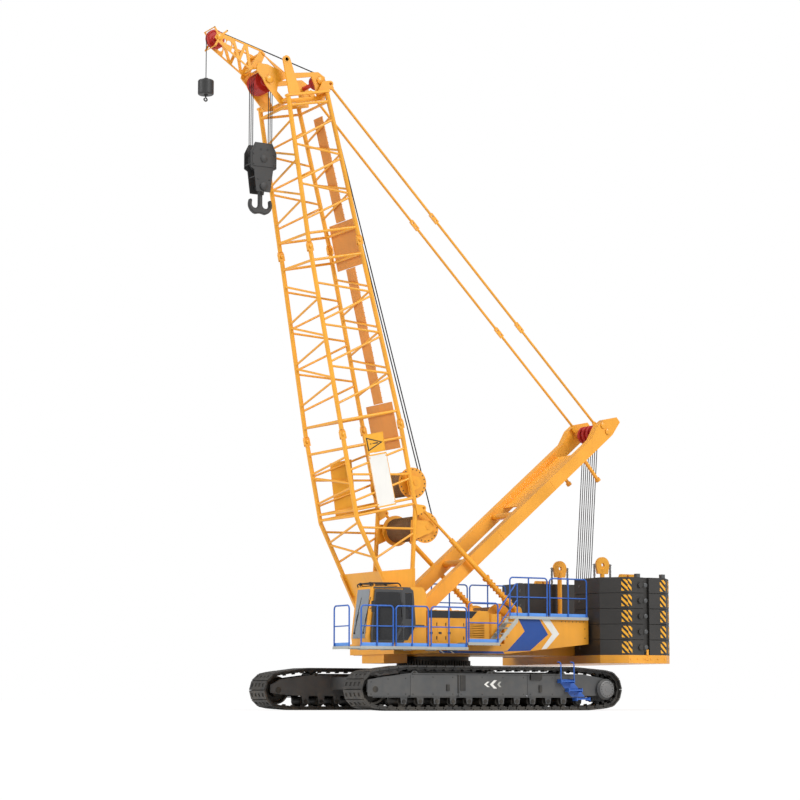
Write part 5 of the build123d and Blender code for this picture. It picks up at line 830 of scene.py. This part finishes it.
for y in (1.565, 2.235):
    gear.rod((2.82, y, CAB_FLOOR + 0.64), (2.84, y, CAB_FLOOR + 0.84), 0.016, 10)
    gear.turned((2.84, y, CAB_FLOOR + 0.83), Z, [(0.02, 0.0), (0.032, 0.03), (0.032, 0.07), (0.02, 0.09)], 14)
gear.make("cab_controls", "upper", "black", "ring_dark")

# Seat: base with side consoles, and padded cushions

BASE_Z, SEAT_Y = 1.98235, 1.90
base = Kit()
base.block((2.35, 1.75, BASE_Z), (2.67, 2.05, BASE_Z + 0.30))
base.block((2.30, 1.70, BASE_Z + 0.30), (2.76, 2.10, BASE_Z + 0.40))
shell = [(2.30, 0.40), (2.24, 0.44), (2.12, 1.14), (2.16, 1.14), (2.30, 0.50)]
base.on_side([(px, BASE_Z + rise) for px, rise in shell], 1.72, 0.36)
console = [(2.44, 0.0), (2.92, 0.0), (2.92, 0.52), (2.86, 0.61), (2.44, 0.58)]
for y in (1.505, 2.175):
    base.on_side([(px, BASE_Z + rise) for px, rise in console], y, 0.12)
base.make("seat_base", "upper", "cab_dark")


def cushion(kit, at, axes, half, crown, count=10):
    """Crowned pad: the grid of a cube drawn in to a rounded form, its upper side swelled."""
    spots, points, faces = {}, [], []

    def put(spot):
        key = tuple(round(c, 4) for c in spot)
        if key not in spots:
            size = sum(abs(c) ** 5 for c in spot) ** 0.2
            u, v, w = (c / size for c in spot)
            swell = 1 + crown * (1 - u * u) * (1 - v * v) if w > 0 else 1
            spots[key] = len(points)
            points.append(at + axes[0] * (u * half[0]) + axes[1] * (v * half[1]) + axes[2] * (w * swell * half[2]))
        return spots[key]

    for axis in range(3):
        for sign in (1, -1):
            for i in range(count):
                for j in range(count):
                    ring = []
                    for a, b in ((i, j), (i + 1, j), (i + 1, j + 1), (i, j + 1)):
                        spot = [0.0, 0.0, 0.0]
                        spot[axis] = sign
                        spot[(axis + 1) % 3] = -1 + 2 * a / count
                        spot[(axis + 2) % 3] = -1 + 2 * b / count
                        ring.append(put(spot))
                    faces.append(ring if sign > 0 else ring[::-1])
    kit.add(points, faces)


LEAN = Vector((-0.17, 0, 0.985)).normalized()
FLAT, UPRIGHT = (X, Y, Z), (Y, LEAN, Y.cross(LEAN))
ARM_PAD = (0.17, 0.055, 0.03)
for name, at, axes, half, crown, hidden in (
        ("seat_cushion", (2.535, SEAT_Y, 0.475), FLAT, (0.25, 0.24, 0.075), 0.45, ("operator_seat",)),
        ("seat_back", (2.255, SEAT_Y, 0.85), UPRIGHT, (0.235, 0.33, 0.07), 0.40, ()),
        ("seat_headrest", (2.175, SEAT_Y, 1.30), UPRIGHT, (0.14, 0.09, 0.045), 0.40, ()),
        ("arm_pad_left", (2.66, SEAT_Y + 0.335, 0.635), FLAT, ARM_PAD, 0.3, ()),
        ("arm_pad_right", (2.66, SEAT_Y - 0.335, 0.635), FLAT, ARM_PAD, 0.3, ())):
    kit = Kit()
    cushion(kit, Vector(at) + Z * BASE_Z, axes, half, crown)
    kit.make(name, "upper", "seat_black", "seat_black", hidden, sharp=80.0)

# Decks: gratings, edge lips, post collars and the handrail at the stairs

LOW, MID, HIGH = 1.93, 2.085, 2.95
RAIL_Y, UPPER_RAIL_Y, STAIR_Y = 2.966, 2.406, 2.93
GRATINGS = [(0.60, 4.36, 2.45, 2.93, LOW), (3.87, 4.56, 1.78, 2.42, LOW), (-0.57, 0.53, 2.38, 2.93, MID),
            (-4.34, -1.37, 1.44, 2.37, HIGH), (-1.27, 0.87, -2.38, -2.93, MID), (-4.34, -1.37, -1.44, -2.37, HIGH)]
LIPS = [(0.56, 4.38, 3.0, LOW), (-0.60, 0.556, 3.0, MID), (-4.38, -1.34, 2.44, HIGH), (-1.30, 0.90, -3.0, MID),
        (-4.38, -1.34, -2.44, HIGH)]
POSTS = [((4.35, 3.23, 3.13, 1.98, 1.88, 0.60), RAIL_Y, LOW), ((0.516, -0.56), RAIL_Y, MID),
         ((-1.38, -2.80, -2.90, -4.34), UPPER_RAIL_Y, HIGH), ((-1.38, -2.80, -2.90, -4.34), -UPPER_RAIL_Y, HIGH),
         ((0.86, -0.20, -0.30, -1.26), -RAIL_Y, MID)]
grate, lip, collar, stair = Kit(), Kit(), Kit(), Kit()
for x0, x1, y0, y1, z in GRATINGS:
    for px in spread(max(2, round((x1 - x0) / 0.055)), x0, x1):
        grate.block((px - 0.006, y0, z), (px + 0.006, y1, z + 0.010))
    for py in spread(5, y0, y1):
        grate.block((x0, py - 0.004, z), (x1, py + 0.004, z + 0.007))
for x0, x1, y, z in LIPS:
    side = 1 if y > 0 else -1
    lip.block((x0, y, z - 0.075), (x1, y + side * 0.012, z + 0.015))
    across = spread(max(3, round((x1 - x0) / 0.6)), x0 + 0.1, x1 - 0.1)
    lip.bolts([(px, y + side * 0.012, z - 0.03) for px in across], Y * side, 0.012, 0.010)
lip.block((4.65, 1.74, LOW - 0.075), (4.662, 2.72, LOW + 0.015))
for px in spread(5, 0.9, 4.1):
    lip.on_side([(px, 1.87), (px + 0.05, 1.87), (px + 0.05, 1.83), (px, 1.83)], 2.40, 0.56)
for places, y, z in POSTS:
    for px in places:
        collar.cap((px, y, z), Z, 0.032, 0.028, 0.055, 0.06, 14)
RAIL = [(-0.58, 2.185), (-0.58, 3.035), (-0.63, 3.105), (-1.25, 3.95), (-1.31, 3.98), (-1.31, 2.96)]
for path, radius in ((RAIL, 0.022), ([(-0.58, 2.605), (-1.31, 3.45)], 0.018)):
    stair.tube([(px, STAIR_Y, pz) for px, pz in path], radius, 10)
for i in range(1, 5):
    px, z = -0.61 - 0.72 * i / 5, MID + (HIGH - MID) * i / 5 - 0.028
    for dx in spread(6, -0.10, 0.10):
        grate.block((px + dx - 0.005, 2.38, z), (px + dx + 0.005, 2.90, z + 0.008))
grate.make("deck_gratings", "upper", "deck_grey")
lip.make("deck_lips", "upper", "deck_grey")
collar.make("rail_collars", "upper", "rail_blue")
stair.make("stair_rail", "upper", "rail_blue")

# Counterweights: hazard plates, plugs, top blocks and the tray's fittings

SLAB_Z = [1.7553 + 0.4993 * i for i in range(5)]
WEIGHT_BACK, WEIGHT_SIDE = -7.18, 3.53
HAZARD_RISE, HAZARD_HEIGHT, BAR_PITCH, BAR = 0.06, 0.37, 0.20, 0.10


def clipped(points, low, high):
    """Outline of (u, v) pairs cut to a range of u."""
    for edge, keep in ((low, 1), (high, -1)):
        kept = []
        for a, b in zip(points, points[1:] + points[:1]):
            da, db = keep * (a[0] - edge), keep * (b[0] - edge)
            if da >= 0:
                kept.append(a)
            if da * db < 0:
                t = da / (da - db)
                kept.append((a[0] + (b[0] - a[0]) * t, a[1] + (b[1] - a[1]) * t))
        points = kept
    return points


def hazard(base, stripes, at, way, out, width, height):
    """Yellow plate with slanting black bars."""
    def place(u, v, lift):
        return at + way * u + Z * v + out * lift

    base.plate([place(0, 0, 0), place(width, 0, 0), place(width, height, 0), place(0, height, 0)], out * FILM)
    for i in range(-4, 8):
        u = i * BAR_PITCH
        bar = clipped([(u, 0.0), (u + BAR, 0.0), (u + BAR + height, height), (u + height, height)], 0.0, width)
        if len(bar) > 2:
            stripes.plate([place(a, b, FILM) for a, b in bar], out * 0.0015)


SLANT = 0.7071
# Plates of the left stack as corner (x, y), way along, way out, and width
HAZARDS = [((-5.17, WEIGHT_SIDE), (SLANT, -SLANT), (SLANT, SLANT), 0.21), ((-5.32, WEIGHT_SIDE), (1, 0), (0, 1), 0.15),
           ((-6.675, WEIGHT_SIDE), (1, 0), (0, 1), 0.22), ((WEIGHT_BACK, 3.03), (SLANT, SLANT), (-SLANT, SLANT), 0.25),
           ((WEIGHT_BACK, 3.03), (0, -1), (-1, 0), 0.22)]
base, stripes, plugs, tray = Kit(), Kit(), Kit(), Kit()
for side in (1, -1):
    out = Y * side
    for z in SLAB_Z:
        for at, way, away, width in HAZARDS:
            spot, along, outward = (Vector((a, b * side, 0)) for a, b in (at, way, away))
            hazard(base, stripes, spot + Z * (z + HAZARD_RISE), along, outward, width, HAZARD_HEIGHT)
        plugs.cap((-5.83, side * 3.59, z + 0.2495), out, 0.07, 0.06, 0.006, 0.012)
        plugs.turned((-4.52, side * 1.75, z + 0.25), X, [(0.05, -0.005), (0.05, 0.008), (0.04, 0.014)], 16)
        for py in (1.9, 2.6):
            plugs.turned((WEIGHT_BACK, side * py, z + 0.25), -X, [(0.06, -0.005), (0.06, 0.010), (0.045, 0.016)], 16)
    for px in (-5.62, -6.62):
        plugs.block((px - 0.07, side * 3.36, 4.252), (px + 0.07, side * 3.50, 4.37))
    face = side * WEIGHT_SIDE
    tray.bolts([(px, face, 1.625) for px in spread(6, -6.6, -5.25)], out, 0.022, 0.02)
    tray.block((-5.95, face, 1.755), (-5.87, face + side * 0.025, 1.93))
    tray.block((-5.96, face, 1.60), (-5.84, face + side * 0.022, 1.66))
base.make("hazard_plates", "upper", "sign_yellow")
stripes.make("hazard_bars", "upper", "black", "ring_dark")
plugs.make("weight_fittings", "upper", "frame_grey", "weight_grey")
tray.make("tray_fittings", "upper", "body_yellow")

# Boom: pin caps, foot caps, walkway ribs, sign rims, warning mark and drum bolts

caps, ribs, rims, warning = Kit(), Kit(), Kit(), Kit()
for s, front, rear, half in ((6.52, 1.05, -1.10, 1.19), (12.52, 0.83, -1.0, 0.98)):
    for n in (front, rear):
        for side in (1, -1):
            for sign in (1, -1):
                caps.cap(boom(s, n, side * half + sign * 0.0783), Y * sign, 0.058, 0.045, 0.012, 0.02, 16)
for side in (1, -1):
    out = Y * side
    caps.cap(boom(0, 0, side * 1.318), out, 0.13, 0.10, 0.02, 0.03, 24)
    caps.bolts(circle(boom(0, 0, side * 1.338), ALONG, FRONT, 0.10, 6), out, 0.014, 0.016)
    caps.turned(boom(18.5, 0.40, side * 1.01), out, [(0.085, 0.0), (0.085, 0.012), (0.06, 0.012), (0.06, 0.0)], 24)
for a, b, n0, n1 in ((7.285, 11.755, -1.1555, -1.0771), (13.285, 16.715, -1.0452, -0.9274)):
    for s in spread(round((b - a) / 0.16), a + 0.02, b - 0.02):
        n = n0 + (n1 - n0) * (s - a) / (b - a)
        ribs.block((s - 0.014, n - 0.014, -0.275), (s + 0.014, n, 0.275), FOOT, BOOM_AXES)
for s0, s1, n in ((5.80, 7.24, -1.1700), (11.80, 13.24, -1.0782)):
    for s in spread(10, s0, s1):
        ribs.block((s - 0.012, n - 0.012, -0.80), (s + 0.012, n, 0.80), FOOT, BOOM_AXES)

SIGN_Y = 1.19 + 0.0433 + 0.014
for corners, side in (([(6.38, 0.345), (6.38, -0.37), (5.78, -0.34), (5.78, 0.30)], 1),
                      ([(5.73, 0.31), (5.73, -0.36), (4.04, -0.36), (4.04, 0.31)], 1),
                      ([(5.70, 0.33), (5.70, -0.48), (3.96, -0.30), (3.96, 0.48)], -1)):
    spots = [boom(s, n, side * SIGN_Y) for s, n in corners]
    middle = sum(spots, Vector((0, 0, 0))) / 4
    for a, b in zip(spots, spots[1:] + spots[:1]):
        rims.plate([a, b, b + (middle - b) * 0.05, a + (middle - a) * 0.05], Y * side * 0.006)
    rims.bolts([p + (middle - p) * 0.12 for p in spots], Y * side, 0.014, 0.012)

# A general warning triangle on the upper plate, upright when the boom is lowered
WARN_S, WARN_RISE = 6.063, 0.004
OUTER_MARK = ((0.0, -0.30), (0.223, 0.28), (-0.223, 0.28))
INNER_MARK = ((0.0, -0.215), (0.172, 0.242), (-0.172, 0.242))
BAR_MARK = ((0.022, -0.12), (0.012, 0.075), (-0.012, 0.075), (-0.022, -0.12))
outer, inner, bar = ([boom(WARN_S + s, n, SIGN_Y) for s, n in mark] for mark in (OUTER_MARK, INNER_MARK, BAR_MARK))
for i in range(3):
    warning.plate([outer[i], outer[i - 2], inner[i - 2], inner[i]], Y * WARN_RISE)
warning.plate(bar, Y * WARN_RISE)
warning.rod(boom(WARN_S, 0.145, SIGN_Y), boom(WARN_S, 0.145, SIGN_Y + WARN_RISE), 0.020)

for i, drum in enumerate(DRUMS, 1):
    kit = Kit()
    for side in (1, -1):
        for count, radius, y in ((12, 0.165, 0.97), (20, 0.44, 0.93)):
            kit.bolts(circle(boom(*drum, side * y), X, Z, radius, count), Y * side, 0.016, 0.018)
    kit.make(f"drum_{i}_bolts", f"drum_{i}", "hook_grey")
caps.make("boom_pin_caps", "boom", "boom_yellow")
ribs.make("walkway_ribs", "boom", "walk_brown")
rims.make("sign_rims", "boom", "sign_yellow")
warning.make("warning_mark", "boom", "black", "ring_dark")

# Boom head: wheel pins, rope guards round the tip wheel and cross bars

head = Kit()
for side in (1, -1):
    out = Y * side
    for s, n, _ in (MAIN, GUIDE):
        head.cap(boom(s, n, side * 0.6), out, 0.12, 0.09, 0.02, 0.035)
        head.bolts(circle(boom(s, n, side * 0.58), ALONG, FRONT, 0.15, 6), out, 0.014, 0.016)
    head.cap(boom(*TIP[:2], side * 0.36), out, 0.10, 0.08, 0.012, 0.02)
for angle in (-60, 20, 140):
    a = radians(angle)
    way = ALONG * cos(a) + FRONT * sin(a)
    across = FRONT * cos(a) - ALONG * sin(a)
    for side in (1, -1):
        head.block((0.05, -0.03, 0.0), (0.365, 0.03, 0.02), boom(*TIP[:2], side * 0.34), (way, across, Y * side))
    rim = TIP_PIN + way * 0.347
    head.rod(rim - Y * 0.36, rim + Y * 0.36, 0.018, 10)
for s, n in ((18.41, 0.93), (18.385, 1.10)):
    head.rod(boom(s, n, -0.53), boom(s, n, 0.53), 0.016, 8)
head.make("head_fittings", "boom", "boom_yellow")

# Mast: pin discs and ribs

MAST_FOOT = Vector((1.4, 0, 2.8))
MAST_WAY = (MAST_TOP - MAST_FOOT).normalized()
MAST_AXES = (MAST_WAY, Vector((MAST_WAY.z, 0, -MAST_WAY.x)), Y)
mast = Kit()
for side in (1, -1):
    for at in (MAST_TOP, Vector((-6.08, 0, 9.48))):
        mast.cap(at + Y * side * 1.02, Y * side, 0.10, 0.08, 0.015, 0.025)
    for s in (4.41, 7.09):
        mast.block((s - 0.012, -0.19, side * 1.0), (s + 0.012, 0.19, side * 1.006), MAST_FOOT, MAST_AXES)
mast.make("mast_fittings", "mast", "mast_orange")

# Hook block: side plates with flat black discs as painted shade where holes would be, bolts, pin discs and rope guards

CHEEK, CHEEK_PLATE = 0.25, 0.018
UPPER_PLATE = [(-0.41, 17.03), (0.41, 17.03), (0.41, 17.47), (0.27, 17.76), (-0.27, 17.76), (-0.41, 17.47)]
block, painted_hole_shade = Kit(), Kit()
for side in (1, -1):
    face, out = side * CHEEK, Y * side
    raised = side * (CHEEK + CHEEK_PLATE)
    block.bolts([(PIN.x + px, raised, pz) for px in (-0.36, 0.36) for pz in (17.42, 17.09)], out, 0.022, 0.024)
    block.bolts([(PIN.x + px, face, 16.62) for px in (-0.2, 0.2)], out, 0.022, 0.024)
    block.cap((PIN.x, side * 0.270, BLOCK_Z), out, 0.12, 0.10, 0.014, 0.024, 24)
    block.cap((PIN.x, side * 0.270, 16.40), out, 0.13, 0.11, 0.014, 0.024, 24)
    block.on_side([(PIN.x + a, b) for a, b in UPPER_PLATE], face, side * CHEEK_PLATE)
    # Painted shade: thin black discs on the upper plates stand for the dark inside of two holes
    for px in (-0.115, 0.115):
        painted_hole_shade.turned((PIN.x + px, raised, 17.58), out, [(0.045, 0.0), (0.045, FILM)], 18)
for px, pz in ((0.43, 17.1), (-0.43, 17.1), (0.27, 16.72), (-0.27, 16.72), (0.0, 17.76)):
    block.rod((PIN.x + px, -0.21, pz), (PIN.x + px, 0.21, pz), 0.02, 10)
block.make("hook_block_fittings", "main_hook", "hook_grey")
painted_hole_shade.make("hook_block_painted_hole_shade", "main_hook", "black", "ring_dark")


# Camera at the photograph's place

scene.camera = bpy.data.objects.new("camera", bpy.data.cameras.new("camera"))
scene.collection.objects.link(scene.camera)
scene.camera.location = (38.0727, 62.7678, 0.3140)
scene.camera.rotation_mode = "QUATERNION"
scene.camera.rotation_quaternion = Vector((-0.50160, -0.85505, 0.13149)).to_track_quat("-Z", "Y")
scene.camera.data.lens = 101.88
scene.camera.data.sensor_width = 36.0
scene.camera.data.clip_start = 0.5
scene.camera.data.clip_end = 900.0


# Stage: pale floor, white surround and soft light

WHITE_LIGHT, SOFT_LIGHT, FLOOR_SHARE, FLOOR_GLOW = 1.0, 0.40, 0.66, 1.06


def fresh(tree, *kinds):
    """Clear a node tree and add nodes of these kinds."""
    tree.nodes.clear()
    return [tree.nodes.new("ShaderNode" + kind) for kind in kinds]


def surround():
    """World that shows white to the camera and through glass, and lights the object evenly."""
    world = bpy.data.worlds.new("studio")
    scene.world = world
    world.use_nodes = True
    tree = world.node_tree
    out, mix, soft, white, rays, seen = fresh(tree, "OutputWorld", "MixShader", "Background", "Background", "LightPath",
                                              "Math")
    soft.inputs["Color"].default_value = (0.98, 0.99, 1.0, 1.0)
    soft.inputs["Strength"].default_value = SOFT_LIGHT
    white.inputs["Color"].default_value = (1.0, 1.0, 1.0, 1.0)
    white.inputs["Strength"].default_value = WHITE_LIGHT
    seen.operation = "MAXIMUM"
    for a, b in ((rays.outputs["Is Camera Ray"], seen.inputs[0]), (rays.outputs["Is Transmission Ray"], seen.inputs[1]),
                 (seen.outputs[0], mix.inputs[0]), (soft.outputs[0], mix.inputs[1]), (white.outputs[0], mix.inputs[2]),
                 (mix.outputs[0], out.inputs["Surface"])):
        tree.links.new(a, b)


def floor():
    """Pale floor that stays near white and keeps the shadow."""
    mesh = bpy.data.meshes.new("floor")
    reach = 400.0
    corners = [(-reach, -reach), (reach, -reach), (reach, reach), (-reach, reach)]
    mesh.from_pydata([(x, y, -0.002) for x, y in corners], [], [(0, 1, 2, 3)])
    piece = bpy.data.objects.new("floor", mesh)
    scene.collection.objects.link(piece)
    material = bpy.data.materials.new("floor")
    material.use_nodes = True
    tree = material.node_tree
    out, matt, glow, rays, share, mix = fresh(tree, "OutputMaterial", "BsdfDiffuse", "Emission", "LightPath", "Math",
                                              "MixShader")
    matt.inputs["Color"].default_value = (0.86, 0.86, 0.86, 1.0)
    glow.inputs["Strength"].default_value = FLOOR_GLOW
    share.operation = "MULTIPLY"
    share.inputs[1].default_value = FLOOR_SHARE
    for a, b in ((rays.outputs["Is Camera Ray"], share.inputs[0]), (share.outputs[0], mix.inputs[0]),
                 (matt.outputs[0], mix.inputs[1]), (glow.outputs[0], mix.inputs[2]),
                 (mix.outputs[0], out.inputs["Surface"])):
        tree.links.new(a, b)
    mesh.materials.append(material)
    piece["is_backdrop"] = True


def sun(name, way, strength, angle):
    lamp = bpy.data.lights.new(name, "SUN")
    lamp.energy = strength
    lamp.angle = radians(angle)
    piece = bpy.data.objects.new(name, lamp)
    scene.collection.objects.link(piece)
    piece.rotation_mode = "QUATERNION"
    piece.rotation_quaternion = Vector(way).to_track_quat("-Z", "Y")


surround()
floor()
sun("key", (0.30, -0.80, -0.55), 1.7, 24)
sun("front", (-0.85, 0.20, -0.50), 1.4, 30)
sun("top", (-0.25, -0.35, -0.90), 0.8, 40)

low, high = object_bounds()
